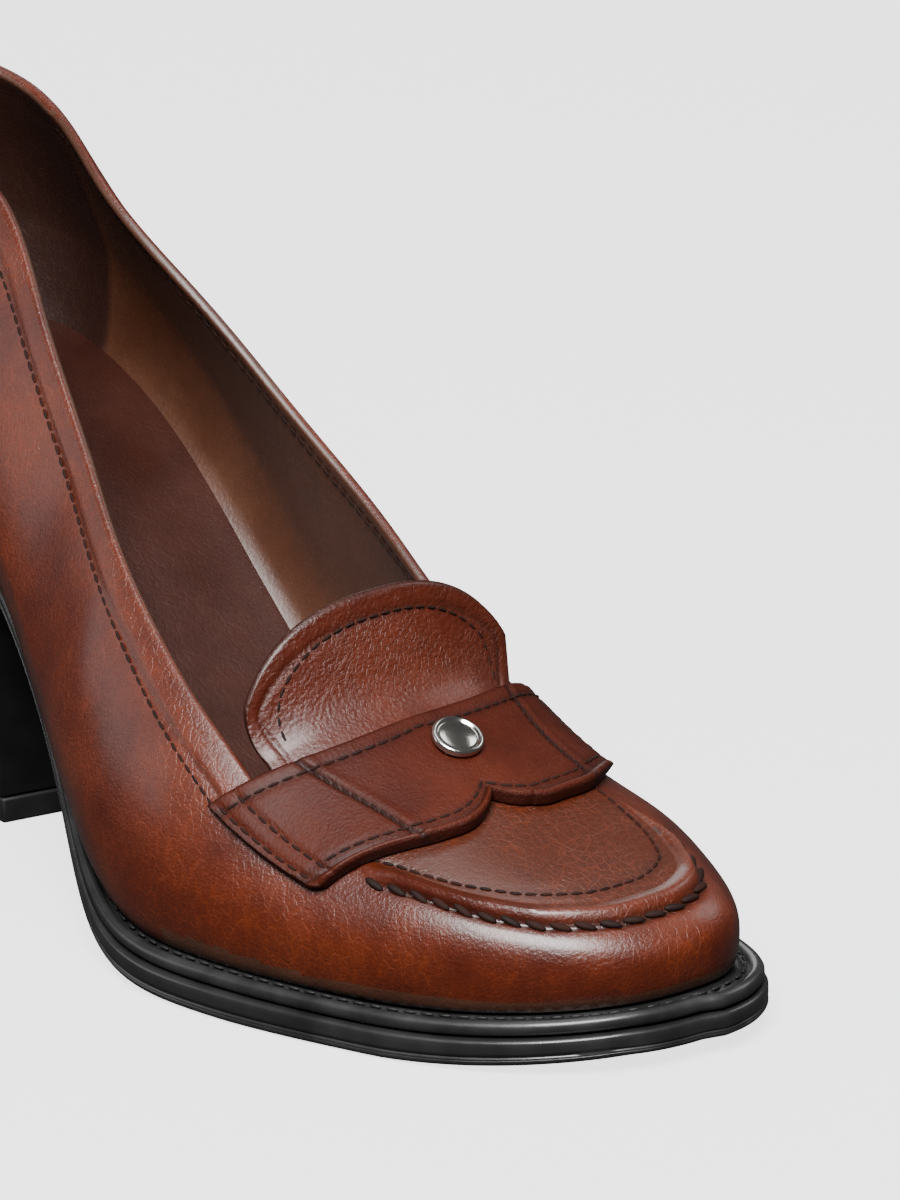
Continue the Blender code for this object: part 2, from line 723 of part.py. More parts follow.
def make_stud(material):
    """Plain domed disc that sits just off the strap."""
    x = np.array([STUD_X])
    turn = np.array([STUD_TURN])
    base = section_point(x, turn)[0]
    normal = section_normal(x, turn)[0]
    along = np.cross(normal, np.array([0.0, 1.0, 0.0]))
    along /= np.linalg.norm(along)
    across = np.cross(normal, along)
    start = base + normal * (STRAP_LIFT + STRAP_THICK + GAP)
    rings = []
    turns = np.linspace(0.0, 2.0 * math.pi, STUD_SIDES, endpoint=False)
    for radius, height in STUD_PROFILE:
        ring = start + normal * height * STUD_HEIGHT
        spoke = np.cos(turns)[:, None] * along + np.sin(turns)[:, None] * across
        ring = ring + STUD_RADIUS * radius * spoke
        rings.append(ring)
    faces = ring_faces(len(rings), STUD_SIDES)
    last = (len(rings) - 1) * STUD_SIDES
    faces += [tuple(range(STUD_SIDES)), tuple(range(last, last + STUD_SIDES))]
    return new_object("strap_stud", closed_mesh("strap_stud", np.concatenate(rings), faces), material)


def clear_scene():
    """Empties the scene and makes the shoe's collection."""
    for item in list(bpy.data.objects):
        bpy.data.objects.remove(item)
    for item in list(bpy.data.collections):
        bpy.data.collections.remove(item)
    collection = bpy.data.collections.new(OBJECT_NAME)
    bpy.context.scene.collection.children.link(collection)


def finish(name, colour, roughness, metallic=0.0):
    """Plain surface with the colour given as linear red, green and blue."""
    made = bpy.data.materials.new(name)
    made.use_nodes = True
    shader = made.node_tree.nodes["Principled BSDF"]
    shader.inputs["Base Color"].default_value = (*colour, 1.0)
    shader.inputs["Roughness"].default_value = roughness
    shader.inputs["Metallic"].default_value = metallic
    return made


def move_origin():
    """Moves every mesh so that the origin is the middle of the bottom of the whole box; gives the shift."""
    meshes = [item.data for item in bpy.data.collections[OBJECT_NAME].objects]
    corners = np.array([vertex.co for mesh in meshes for vertex in mesh.vertices])
    low = corners.min(axis=0)
    high = corners.max(axis=0)
    shift = Vector((-(low[0] + high[0]) / 2.0, -(low[1] + high[1]) / 2.0, -low[2]))
    for mesh in meshes:
        mesh.transform(Matrix.Translation(shift))
    return shift


def main():
    """Makes every piece and sets the shoe on its origin."""
    clear_scene()
    leather = finish("burnished_brown_leather", (0.15, 0.035, 0.014), 0.3)
    sock = finish("insole_leather", (0.13, 0.035, 0.015), 0.5)
    black = finish("black_sole_rubber", (0.012, 0.012, 0.012), 0.4)
    welt = finish("black_welt", (0.01, 0.01, 0.01), 0.45)
    make_upper(leather)
    make_insole(sock)
    make_welt(welt)
    make_outsole(black)
    make_strap(finish("strap_leather", (0.13, 0.03, 0.013), 0.35))
    make_tongue(finish("tongue_leather", (0.12, 0.03, 0.014), 0.4))
    make_heel(finish("black_heel", (0.01, 0.01, 0.01), 0.35))
    make_heel_lift(finish("black_heel_rubber", (0.012, 0.012, 0.012), 0.5))
    make_stud(finish("plain_silver", (0.7, 0.68, 0.64), 0.2, 1.0))
    shift = move_origin()
    print("drawing moved by", [round(value / MM, 4) for value in shift], "mm")


if __name__ == "__main__":
    main()
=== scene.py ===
"""Looks of a loafer pump for the right foot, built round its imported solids.

The last, the upper, the strap and the tongue are drawn again from the same sizes as the solids, with
enough faces for seams, stitches, a rolled topline and soft leather. Sizes are millimetres in the frame
of the last, and become metres in the row's frame as each mesh is made.
"""

import logging
import math
from collections.abc import Callable
from dataclasses import dataclass, field
from enum import Enum, IntEnum

import bmesh
import bpy
import numpy as np
from mathutils import Matrix, Vector


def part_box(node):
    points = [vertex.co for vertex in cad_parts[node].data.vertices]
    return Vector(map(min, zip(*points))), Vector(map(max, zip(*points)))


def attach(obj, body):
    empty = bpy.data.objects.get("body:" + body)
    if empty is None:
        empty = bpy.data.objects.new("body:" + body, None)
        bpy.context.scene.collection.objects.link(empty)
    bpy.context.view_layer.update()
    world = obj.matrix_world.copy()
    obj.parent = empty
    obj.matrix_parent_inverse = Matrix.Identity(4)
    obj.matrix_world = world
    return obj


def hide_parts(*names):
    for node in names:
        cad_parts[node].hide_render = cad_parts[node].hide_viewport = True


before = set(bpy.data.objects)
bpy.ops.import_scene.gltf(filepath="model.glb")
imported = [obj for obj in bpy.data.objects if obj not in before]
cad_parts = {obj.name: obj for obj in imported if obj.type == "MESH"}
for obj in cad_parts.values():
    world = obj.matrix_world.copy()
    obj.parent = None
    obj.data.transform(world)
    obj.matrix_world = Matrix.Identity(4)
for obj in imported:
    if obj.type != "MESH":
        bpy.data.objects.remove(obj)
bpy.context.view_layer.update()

MM = 0.001
BODY = "root"
LOG = logging.getLogger("loafer")

# Camera of the photograph: angles round the target in degrees, sizes in pixels of the 900 by 1200 frame
CAMERA_AZIMUTH = 36.396
CAMERA_ELEVATION = 21.428
CAMERA_ROLL = -1.647
CAMERA_DISTANCE = 1140.394
CAMERA_TARGET = (165.0, 0.0, 30.4)
FOCAL_PIXELS = 6436.172
CENTRE_PIXEL = (420.997, 795.906)
FRAME_PIXELS = (900.0, 1200.0)
SENSOR_HEIGHT = 36.0


class Side(IntEnum):
    """The two sides of the shoe, as signs along the last's Y."""

    OUTER = -1
    INNER = 1

    @property
    def word(self) -> str:
        """The side as the tables' column names spell it."""
        return self.name.lower()


class Ledge(Enum):
    """The two edges that stand out round the upper's foot, as the tables' column names spell them."""

    WELT = "welt"
    SOLE = "sole"


def spline(xs: list[float], ys: list[float]) -> Callable[[np.ndarray], np.ndarray]:
    """Natural cubic through the points, held level past both ends.

    Args:
        xs: Rising places.
        ys: Values there.

    Returns:
        The curve as a function of x.
    """
    x_at = np.array(xs, float)
    y_at = np.array(ys, float)
    count = len(x_at)
    step = np.diff(x_at)
    matrix = np.zeros((count, count))
    right = np.zeros(count)
    matrix[0, 0] = 1.0
    matrix[-1, -1] = 1.0
    for i in range(1, count - 1):
        matrix[i, i - 1] = step[i - 1]
        matrix[i, i] = 2.0 * (step[i - 1] + step[i])
        matrix[i, i + 1] = step[i]
        right[i] = 6.0 * ((y_at[i + 1] - y_at[i]) / step[i] - (y_at[i] - y_at[i - 1]) / step[i - 1])
    bend = np.linalg.solve(matrix, right)

    def value(x: np.ndarray) -> np.ndarray:
        """Value of the curve at x."""
        x = np.clip(np.asarray(x, float), x_at[0], x_at[-1])
        i = np.clip(np.searchsorted(x_at, x, side="right") - 1, 0, count - 2)
        a = x_at[i + 1] - x
        b = x - x_at[i]
        h = step[i]
        curve = (bend[i] * a**3 + bend[i + 1] * b**3) / (6.0 * h)
        return curve + (y_at[i] / h - bend[i] * h / 6.0) * a + (y_at[i + 1] / h - bend[i + 1] * h / 6.0) * b

    return value


def columns_of(rows: tuple, names: tuple[str, ...]) -> dict[str, Callable[[np.ndarray], np.ndarray]]:
    """One spline over the first column for each other named column."""
    xs = [row[0] for row in rows]
    return {name: spline(xs, [row[i] for row in rows]) for i, name in enumerate(names) if i}


def unit(vectors: np.ndarray) -> np.ndarray:
    """The vectors at length one."""
    return vectors / (np.linalg.norm(vectors, axis=-1, keepdims=True) + 1e-12)


def bump_at(distance: np.ndarray, width: float) -> np.ndarray:
    """Soft hump of height one round distance zero."""
    return np.exp(-((distance / width) ** 2))


def step_at(distance: np.ndarray, width: float) -> np.ndarray:
    """Soft step from zero to one over about one width."""
    return 1.0 / (1.0 + np.exp(-np.clip(distance / width * 4.0, -30.0, 30.0)))


def round_over(share: np.ndarray) -> np.ndarray:
    """Height of a rounded edge at this share of its width in from the rim."""
    return np.sqrt(np.clip(1.0 - (1.0 - np.clip(share, 0.0, 1.0)) ** 2, 0.0, 1.0))


@dataclass(frozen=True)
class Crease:
    """Soft trough or ridge along a line, or the shade that goes with it: place, height and half width."""

    at: float
    height: float
    reach: float

    def over(self, distance: np.ndarray) -> np.ndarray:
        """Height at these distances from the line that the place is measured from."""
        return self.height * bump_at(distance - self.at, self.reach)


def lengths_along(points: np.ndarray) -> np.ndarray:
    """Length from the first point of a line to each of its points."""
    return np.concatenate([[0.0], np.cumsum(np.linalg.norm(np.diff(points, axis=0), axis=1))])


def vectors_at(places: np.ndarray, lengths: np.ndarray, vectors: np.ndarray) -> np.ndarray:
    """Vectors at these places, between the ones given at their lengths."""
    return np.stack([np.interp(places, lengths, column) for column in vectors.T], -1)


def resampled(points: np.ndarray, places: np.ndarray) -> np.ndarray:
    """Points at these lengths along a line of points."""
    return vectors_at(places, lengths_along(points), points)


@dataclass(frozen=True)
class Last:
    """The foot form that every leather piece follows, with the same sizes as the solids."""

    heel_end: float = -3.0
    toe_end: float = 230.0
    heel_cap: float = 30.0
    heel_roundness: float = 2.1
    toe_cap: float = 40.0
    toe_roundness: float = 2.4
    back_lean: float = 7.0
    lean_from: float = 22.0
    lean_reach: float = 60.0
    lean_span: float = 40.0
    crown_blend: float = 0.5
    throat_x: float = 165.0
    throat_bow: float = 7.0
    section_columns: tuple = (
        "x", "bottom", "outer", "inner", "centre", "bulge", "widest", "crown_outer", "crown_inner", "square",
    )
    sections: tuple = (
        (-3, 80.7, 25.5, 25.5, 0.0, 3.5, 20.0, 83.0, 83.0, 1.2),
        (28, 75.8, 26.0, 26.0, 0.0, 3.5, 20.0, 79.1, 79.8, 1.2),
        (55, 66.0, 25.3, 24.8, 0.0, 4.0, 19.0, 67.5, 65.4, 1.2),
        (79, 49.3, 27.3, 23.8, -0.5, 5.0, 18.0, 74.0, 71.5, 1.3),
        (100, 31.0, 31.3, 25.3, -2.0, 5.0, 16.0, 75.0, 92.7, 1.45),
        (119, 17.3, 34.9, 29.3, -5.0, 4.5, 14.0, 69.7, 101.0, 1.7),
        (137, 10.3, 37.4, 34.3, -7.0, 3.5, 12.5, 60.9, 77.5, 1.8),
        (159, 8.7, 37.7, 36.7, -5.0, 3.0, 10.5, 44.2, 46.2, 2.1),
        (184, 8.4, 35.7, 34.0, 0.9, 2.6, 9.4, 30.7, 30.7, 2.0),
        (208, 8.9, 31.6, 25.0, 6.6, 1.8, 6.9, 22.4, 22.4, 2.9),
        (230, 11.2, 27.5, 21.8, 10.2, 1.5, 6.0, 17.0, 17.0, 2.6),
    )
    collar: tuple = (
        (-3, 53.5, 53.5),
        (12, 52.3, 51.8),
        (24, 52.3, 50.8),
        (40, 53.6, 50.6),
        (63, 53.0, 51.2),
        (80, 52.0, 51.8),
        (100, 52.1, 51.6),
        (120, 51.6, 51.8),
        (140, 45.2, 47.4),
        (160, 33.6, 33.6),
        (172, 24.5, 24.0),
    )
    curves: dict = field(default_factory=dict)

    def __post_init__(self) -> None:
        """Works out the curves of the section and collar tables."""
        self.curves.update(columns_of(self.sections, self.section_columns))
        self.curves.update(columns_of(self.collar, ("x", "collar_outer", "collar_inner")))

    def at(self, name: str, x: np.ndarray) -> np.ndarray:
        """Value of a named column at x."""
        return self.curves[name](x)

    def toe_share(self, x: np.ndarray) -> np.ndarray:
        """How far x is into the rounded toe, from 0 to 1."""
        return np.clip((x - (self.toe_end - self.toe_cap)) / self.toe_cap, 0.0, 1.0)

    def cap_factor(self, x: np.ndarray) -> np.ndarray:
        """Share of the full width that the rounded heel and toe leave at x."""
        back = np.clip((self.heel_end + self.heel_cap - x) / self.heel_cap, 0.0, 1.0)
        heel = (1.0 - back**self.heel_roundness) ** (1.0 / self.heel_roundness)
        toe = (1.0 - self.toe_share(x) ** self.toe_roundness) ** (1.0 / self.toe_roundness)
        return heel * toe

    def full_half(self, x: np.ndarray, side: Side) -> np.ndarray:
        """Half width of the widest line before the rounded ends."""
        return self.at(side.word, x) + self.at("bulge", x)

    def drawn_x(self, x: np.ndarray, inset: np.ndarray) -> np.ndarray:
        """x moved in with the outline, so that an inset outline keeps its rounded ends."""
        toe_start = self.toe_end - self.toe_cap
        heel_start = self.heel_end + self.heel_cap
        x = np.where(x > toe_start, toe_start + (x - toe_start) * (self.toe_cap - inset) / self.toe_cap, x)
        return np.where(
            x < heel_start, heel_start + (x - heel_start) * (self.heel_cap - inset) / self.heel_cap, x
        )

    def outline(self, x: np.ndarray, side: Side, inset: np.ndarray) -> tuple[np.ndarray, np.ndarray]:
        """Plan outline at an inset from the widest line, as x and y."""
        y = (self.full_half(x, side) - inset) * self.cap_factor(x)
        return self.drawn_x(x, inset), self.at("centre", x) + side * y

    def crown_over(self, x: np.ndarray, spread: np.ndarray) -> np.ndarray:
        """Crown height at a signed share of the half width, blended from side to side over the middle."""
        share = np.clip((spread / self.crown_blend + 1.0) / 2.0, 0.0, 1.0)
        weight = share**2 * (3.0 - 2.0 * share)
        return self.at("crown_outer", x) * (1.0 - weight) + self.at("crown_inner", x) * weight

    def wall(self, x: np.ndarray, side: Side, height: np.ndarray) -> np.ndarray:
        """Point of the side at this height over the bottom.

        Args:
            x: Places along the last.
            side: Outer or inner.
            height: Heights over the bottom.

        Returns:
            Points, one row each.
        """
        widest = self.at("widest", x)
        bulge = self.at("bulge", x)
        low = np.clip((widest - height) / widest, 0.0, 1.0)
        inset = bulge * (1.0 - np.sqrt(1.0 - low**2))
        power = self.at("square", x)
        rise = np.clip((height - widest) / (self.at(f"crown_{side.word}", x) - widest), 0.0, 1.0)
        share = (1.0 - rise**power) ** (1.0 / power)
        px, _ = self.outline(x, side, inset)
        y = (self.full_half(x, side) - inset) * self.cap_factor(x) * share
        weight = np.clip((self.lean_reach - x) / self.lean_reach, 0.0, 1.0) ** 2
        lift = np.clip((height - self.lean_from) / self.lean_span, 0.0, 1.5)
        px = px + self.back_lean * weight * lift**2
        return np.stack([px, self.at("centre", x) + side * y, self.at("bottom", x) + height], -1)

    def top(self, x: np.ndarray, y: np.ndarray) -> np.ndarray:
        """Point of the dome over the plan position x, y."""
        across = y - self.at("centre", x)
        side = np.where(across > 0, Side.INNER, Side.OUTER)
        half = np.where(side > 0, self.full_half(x, Side.INNER), self.full_half(x, Side.OUTER))
        spread = np.abs(across) / half
        toe = self.toe_share(x)
        radius = (spread**self.toe_roundness + toe**self.toe_roundness) ** (1.0 / self.toe_roundness)
        radius = np.clip(np.where(toe > 0, radius, spread), 0.0, 1.0)
        power = self.at("square", x)
        widest = self.at("widest", x)
        crown = self.crown_over(x, side * spread)
        height = widest + (crown - widest) * (1.0 - radius**power) ** (1.0 / power)
        return np.stack([x + 0.0 * y, y + 0.0 * x, self.at("bottom", x) + height], -1)

    def section(self, x: np.ndarray, turn: np.ndarray) -> np.ndarray:
        """Point of the section at x; turn is -1 at the outer widest line, 0 on top and +1 at the inner."""
        side = np.where(turn > 0, Side.INNER, Side.OUTER)
        angle = np.abs(turn) * math.pi / 2.0
        power = self.at("square", x)
        half = np.where(side > 0, self.full_half(x, Side.INNER), self.full_half(x, Side.OUTER))
        widest = self.at("widest", x)
        spread = side * np.sin(angle) ** (2.0 / power)
        y = self.at("centre", x) + half * spread
        rise = np.maximum(np.cos(angle), 0.0) ** (2.0 / power)
        height = widest + (self.crown_over(x, spread) - widest) * rise
        return np.stack([x + 0.0 * y, y, self.at("bottom", x) + height], -1)

    def section_normal(self, x: np.ndarray, turn: np.ndarray) -> np.ndarray:
        """Outward direction of the section surface."""
        across = self.section(x, turn + 0.02) - self.section(x, turn - 0.02)
        along = self.section(x + 0.5, turn) - self.section(x - 0.5, turn)
        return unit(np.cross(along, across))

    def throat(self, share: float) -> np.ndarray:
        """Plan position on the throat edge, from the outer corner at 0 to the inner corner at 1."""
        outer = self.wall(self.throat_x, Side.OUTER, self.at("collar_outer", self.throat_x))
        inner = self.wall(self.throat_x, Side.INNER, self.at("collar_inner", self.throat_x))
        x = self.throat_x + self.throat_bow * math.sin(math.pi * share)
        return np.array([x, outer[1] + (inner[1] - outer[1]) * share])

    def stations(self, count: int, side: Side, inset: float = 0.0) -> np.ndarray:
        """Places evenly spaced along one side's outline from heel to toe."""
        turn = np.linspace(0.0, math.pi, 1200)
        x = self.heel_end + (self.toe_end - self.heel_end) * (1.0 - np.cos(turn)) / 2.0
        lengths = lengths_along(np.stack(self.outline(x, side, inset), -1))
        return np.interp(np.linspace(0.0, lengths[-1], count + 1), lengths, x)

    def collar_line(self, count: int, drop: float, first: float) -> tuple[np.ndarray, np.ndarray]:
        """Line round the collar from the outer throat over the heel to the inner throat.

        Args:
            count: Points on each side.
            drop: Distance below the edge.
            first: x where the line starts and ends.

        Returns:
            Points and outward directions.
        """
        x = first + (self.heel_end - first) * np.sin(np.linspace(0.0, math.pi / 2.0, count))
        parts = []
        normals = []
        for side in Side:
            height = self.at(f"collar_{side.word}", x) - drop
            inside = np.maximum(x, self.heel_end + 0.02)
            points = self.wall(inside, side, height)
            along = np.gradient(points, axis=0)
            up = self.wall(inside, side, height + 0.5) - self.wall(inside, side, height - 0.5)
            normal = unit(np.cross(along, up))
            normal = normal * np.where(normal[:, 1:2] * side < 0, -1.0, 1.0)
            parts.append(points)
            normals.append(normal)
        line = np.concatenate([parts[0], parts[1][-2::-1]])
        turned = np.concatenate([normals[0], normals[1][-2::-1]])
        back = len(parts[0]) - 1
        turned[back] = (-1.0, 0.0, 0.15)
        return line, unit(turned)


LAST = Last()
LIFT_LOW, LIFT_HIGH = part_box("heel_lift")
_, UPPER_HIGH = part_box("upper")
ROW_SHIFT = np.array([UPPER_HIGH.x / MM - LAST.toe_end, (LIFT_LOW.y + LIFT_HIGH.y) / (2.0 * MM), 0.0])


def in_row(points: np.ndarray) -> np.ndarray:
    """Last millimetres to metres in the row's frame."""
    return (np.asarray(points, float) + ROW_SHIFT) * MM


def linear(code: str) -> tuple[float, float, float, float]:
    """Linear colour of an sRGB hex code such as #6b2c17."""
    channels = [int(code[i : i + 2], 16) / 255.0 for i in (1, 3, 5)]
    return (*(c / 12.92 if c <= 0.04045 else ((c + 0.055) / 1.055) ** 2.4 for c in channels), 1.0)


def set_inputs(node: bpy.types.Node, inputs: dict) -> None:
    """Links each input, by name or number, to another node's output, or sets its value."""
    for key, value in inputs.items():
        if isinstance(value, bpy.types.NodeSocket):
            node.id_data.links.new(value, node.inputs[key])
        else:
            node.inputs[key].default_value = value


def add_node(
    tree: bpy.types.NodeTree, kind: str, inputs: dict | None = None, **settings: object
) -> bpy.types.Node:
    """Adds a node with its settings, and links or sets its inputs.

    Args:
        tree: Tree that takes the node.
        kind: Blender's name of the node type.
        inputs: Socket name or number to a value or to another node's output.
        **settings: Properties of the node.

    Returns:
        The node.
    """
    node = tree.nodes.new(kind)
    for key, value in settings.items():
        setattr(node, key, value)
    set_inputs(node, inputs or {})
    return node


def new_surface(name: str) -> tuple[bpy.types.Material, bpy.types.NodeTree, bpy.types.Node]:
    """An empty node material with its Principled shader."""
    material = bpy.data.materials.new(name)
    material.use_nodes = True
    tree = material.node_tree
    return material, tree, tree.nodes["Principled BSDF"]


def per_metre(millimetres: float) -> float:
    """Texture scale whose pattern repeats at this size."""
    return 1.0 / (millimetres * MM)


@dataclass(frozen=True)
class Leather:
    """Dyed, waxed and polished hide: a mottled colour with fine grain pores and pull-up cracks."""

    name: str
    base: str
    dark: str
    light: str
    roughness: float
    coat: float
    coat_roughness: float
    grain_mm: float
    grain_depth: float
    crack_mm: float
    crack_depth: float
    crack_stretch: float = 3.0
    crack_show: float = 0.35
    mottle_mm: float = 22.0
    speck_mm: float = 7.0
    warp_mm: float = 6.0
    warp_by: float = 3.0
    shine: float = 0.4
    plug: str = ""

    def material(self) -> bpy.types.Material:
        """The leather as a node material."""
        made, tree, shader = new_surface(self.name)
        place = add_node(tree, "ShaderNodeTexCoord").outputs["Object"]
        wide, fine, warp, pores = (
            add_node(
                tree, "ShaderNodeTexNoise",
                {"Vector": place, "Scale": per_metre(size), "Detail": detail, "Roughness": rough},
            )
            for size, detail, rough in (
                (self.mottle_mm, 4.0, 0.6),
                (self.speck_mm, 6.0, 0.7),
                (self.warp_mm, 2.0, 0.5),
                (self.grain_mm * 1.7, 5.0, 0.65),
            )
        )
        stretched = add_node(
            tree, "ShaderNodeMapping", {"Vector": place, "Scale": (1.0, 1.0, 1.0 / self.crack_stretch)}
        )
        bent = add_node(
            tree, "ShaderNodeVectorMath",
            {0: warp.outputs["Color"], "Scale": self.warp_by * MM}, operation="SCALE",
        )
        moved = add_node(
            tree, "ShaderNodeVectorMath",
            {0: stretched.outputs["Vector"], 1: bent.outputs[0]}, operation="ADD",
        )
        crack = add_node(
            tree, "ShaderNodeTexVoronoi",
            {"Vector": moved.outputs[0], "Scale": per_metre(self.crack_mm)}, feature="DISTANCE_TO_EDGE",
        )
        grain = add_node(
            tree, "ShaderNodeTexVoronoi",
            {"Vector": place, "Scale": per_metre(self.grain_mm), "Randomness": 1.0}, feature="SMOOTH_F1",
        )
        mottle, speck, line, patchy, rough = (
            add_node(
                tree, "ShaderNodeMapRange",
                {"Value": value, "From Min": low, "From Max": high, "To Min": first, "To Max": last},
            ).outputs["Result"]
            for value, low, high, first, last in (
                (wide.outputs["Fac"], 0.36, 0.66, 0.0, 0.55),
                (fine.outputs["Fac"], 0.36, 0.60, 0.22, 0.0),
                (crack.outputs["Distance"], 0.0, 0.09, 1.0, 0.0),
                (wide.outputs["Fac"], 0.42, 0.58, 0.15, 1.0),
                (wide.outputs["Fac"], 0.30, 0.70, self.roughness - 0.05, self.roughness + 0.08),
            )
        )
        shown = add_node(tree, "ShaderNodeMath", {0: line, 1: patchy}, operation="MULTIPLY").outputs[0]
        faint = add_node(
            tree, "ShaderNodeMath", {0: shown, 1: self.crack_show}, operation="MULTIPLY"
        ).outputs[0]
        # Painted shade: this vertex attribute darkens the leather towards its dark colour in grooves, along
        # seams and rims, and near the foot
        painted_shade = add_node(tree, "ShaderNodeAttribute", attribute_name="painted_shade").outputs["Fac"]
        tints = [(mottle, self.light), (speck, self.dark), (faint, self.light), (painted_shade, self.dark)]
        if self.plug:
            panel = add_node(tree, "ShaderNodeAttribute", attribute_name="panel").outputs["Fac"]
            tints.insert(1, (panel, self.plug))
        colour = linear(self.base)
        for share, tint in tints:
            mixed = add_node(tree, "ShaderNodeMix", {0: share, 6: colour, 7: linear(tint)}, data_type="RGBA")
            colour = mixed.outputs[2]
        below = {}
        for height, depth, sunk in (
            (shown, self.crack_depth, True),
            (pores.outputs["Fac"], 2.0 * self.grain_depth, False),
            (grain.outputs["Distance"], self.grain_depth, False),
        ):
            relief = {"Height": height, "Distance": depth * MM, "Strength": 1.0, **below}
            below = {"Normal": add_node(tree, "ShaderNodeBump", relief, invert=sunk).outputs["Normal"]}
        set_inputs(
            shader,
            {
                "Base Color": colour, "Roughness": rough, "Specular IOR Level": self.shine,
                "Coat Weight": self.coat, "Coat Roughness": self.coat_roughness, **below,
            },
        )
        return made


@dataclass(frozen=True)
class Moulded:
    """Black moulded or lacquered surface with faint streaks along it."""

    name: str
    base: str
    light: str
    roughness: float
    coat: float
    streak_mm: float
    streak_depth: float
    streak_stretch: float = 8.0
    metallic: float = 0.0
    shine: float = 0.5
    cloud_mm: float = 9.0
    coat_roughness: float = 0.12

    def material(self) -> bpy.types.Material:
        """The surface as a node material."""
        made, tree, shader = new_surface(self.name)
        place = add_node(tree, "ShaderNodeTexCoord").outputs["Object"]
        drawn_out = (1.0 / self.streak_stretch, 1.0 / self.streak_stretch, 1.0)
        along = add_node(tree, "ShaderNodeMapping", {"Vector": place, "Scale": drawn_out}).outputs["Vector"]
        streak, cloud = (
            add_node(
                tree, "ShaderNodeTexNoise", {"Vector": vector, "Scale": per_metre(size), "Detail": detail}
            ).outputs["Fac"]
            for vector, size, detail in ((along, self.streak_mm, 4.0), (place, self.cloud_mm, 3.0))
        )
        shade, rough = (
            add_node(
                tree, "ShaderNodeMapRange",
                {"Value": cloud, "From Min": low, "From Max": 0.7, "To Min": first, "To Max": last},
            ).outputs["Result"]
            for low, first, last in ((0.35, 0.0, 1.0), (0.3, self.roughness - 0.04, self.roughness + 0.08))
        )
        colour = add_node(
            tree, "ShaderNodeMix", {0: shade, 6: linear(self.base), 7: linear(self.light)}, data_type="RGBA"
        )
        bump = add_node(
            tree, "ShaderNodeBump", {"Height": streak, "Distance": self.streak_depth * MM, "Strength": 1.0}
        )
        set_inputs(
            shader,
            {
                "Base Color": colour.outputs[2], "Roughness": rough, "Normal": bump.outputs["Normal"],
                "Metallic": self.metallic, "Specular IOR Level": self.shine,
                "Coat Weight": self.coat, "Coat Roughness": self.coat_roughness,
            },
        )
        return made


# Burnished calf: wax-polished, so it has a clear coat over a warm mottled dye and shows pull-up cracks
UPPER_LEATHER = Leather(
    "burnished_calf_leather", "#3f1003", "#170502", "#66270b", 0.37, 0.55, 0.28,
    0.5, 0.07, 1.7, 0.05, plug="#401706", crack_show=0.45,
)
# Same hide left drier, so the strap looks softer and darker
STRAP_LEATHER = Leather(
    "drier_strap_leather", "#390f04", "#140402", "#4e1d0c", 0.52, 0.04, 0.3,
    0.5, 0.09, 1.5, 0.05, shine=0.16,
)
# Tongue: the pebbled grain of the flank shows as small plump cells
TONGUE_LEATHER = Leather(
    "pebbled_tongue_leather", "#431406", "#170602", "#59230f", 0.40, 0.25, 0.26, 0.7, 0.12, 1.1, 0.08,
    crack_stretch=1.0, crack_show=0.2,
)
# Lining: smooth glazed leather, brown with an even sheen
LINING_LEATHER = Leather(
    "glazed_lining_leather", "#40200f", "#180803", "#4d2c1a", 0.46, 0.6, 0.46, 0.6, 0.06, 2.6, 0.02,
    crack_show=0.1, plug="#230b04",
)
# Insole sock: redder lining leather, rubbed a little lighter, with its colours kept darker than its own as
# painted shade for the inside of the shoe
SOCK_LEATHER = Leather(
    "sock_leather", "#2b0d04", "#140502", "#38150a", 0.5, 0.06, 0.35, 0.6, 0.04, 3.2, 0.03,
    crack_show=0.12,
)
# Waxed thread: twisted, so it is dark with a low sheen
THREAD = Moulded("waxed_brown_thread", "#150603", "#260f07", 0.75, 0.0, 0.5, 0.05, 1.0, shine=0.2)
BLACK_THREAD = Moulded("waxed_black_thread", "#0a0a0a", "#161616", 0.6, 0.0, 0.5, 0.05, 1.0, shine=0.35)
# Welt: black leather strip under edge dressing, its black lifted to dark grey as painted reflection of the
# pale floor
WELT_FINISH = Moulded("dressed_black_welt", "#171717", "#262626", 0.38, 0.2, 0.6, 0.03, 4.0)
# Outsole: moulded resin with a semi-gloss side, its black lifted to dark grey as painted reflection of the
# pale floor
SOLE_FINISH = Moulded("moulded_black_resin", "#181818", "#232323", 0.32, 0.25, 0.5, 0.025, 12.0)
# Heel block: wrapped and lacquered, an even satin black
HEEL_FINISH = Moulded("lacquered_black_heel", "#060606", "#0c0c0c", 0.34, 0.12, 0.8, 0.015, 3.0)
# Top lift: plain rubber without gloss
LIFT_FINISH = Moulded("top_lift_rubber", "#0b0b0b", "#131313", 0.55, 0.0, 0.6, 0.03, 2.0)
# Stud: plated and polished metal, nearly a mirror with fine rub marks
STUD_FINISH = Moulded("polished_nickel_plate", "#cfccc6", "#dcd9d3", 0.17, 0.0, 0.25, 0.006, 5.0, 1.0)


def grid_bmesh(points: np.ndarray, layers: dict[str, np.ndarray] | None = None) -> bmesh.types.BMesh:
    """Bends a flat grid onto points given as columns by rows, and merges edges that meet.

    Args:
        points: Array of columns by rows by three, in last millimetres.
        layers: Name of a vertex attribute to its value at each point.

    Returns:
        The bmesh, in metres in the row's frame.
    """
    columns, rows, _ = points.shape
    work = bmesh.new()
    bmesh.ops.create_grid(work, x_segments=columns - 1, y_segments=rows - 1, size=1.0)
    placed = in_row(points)
    stores = {name: work.verts.layers.float.new(name) for name in (layers or {})}
    for vertex in work.verts:
        i = round((vertex.co.x + 1.0) / 2.0 * (columns - 1))
        j = round((vertex.co.y + 1.0) / 2.0 * (rows - 1))
        vertex.co = placed[i, j]
        for name, store in stores.items():
            vertex[store] = float(layers[name][i, j])
    bmesh.ops.remove_doubles(work, verts=work.verts, dist=1e-6)
    return work


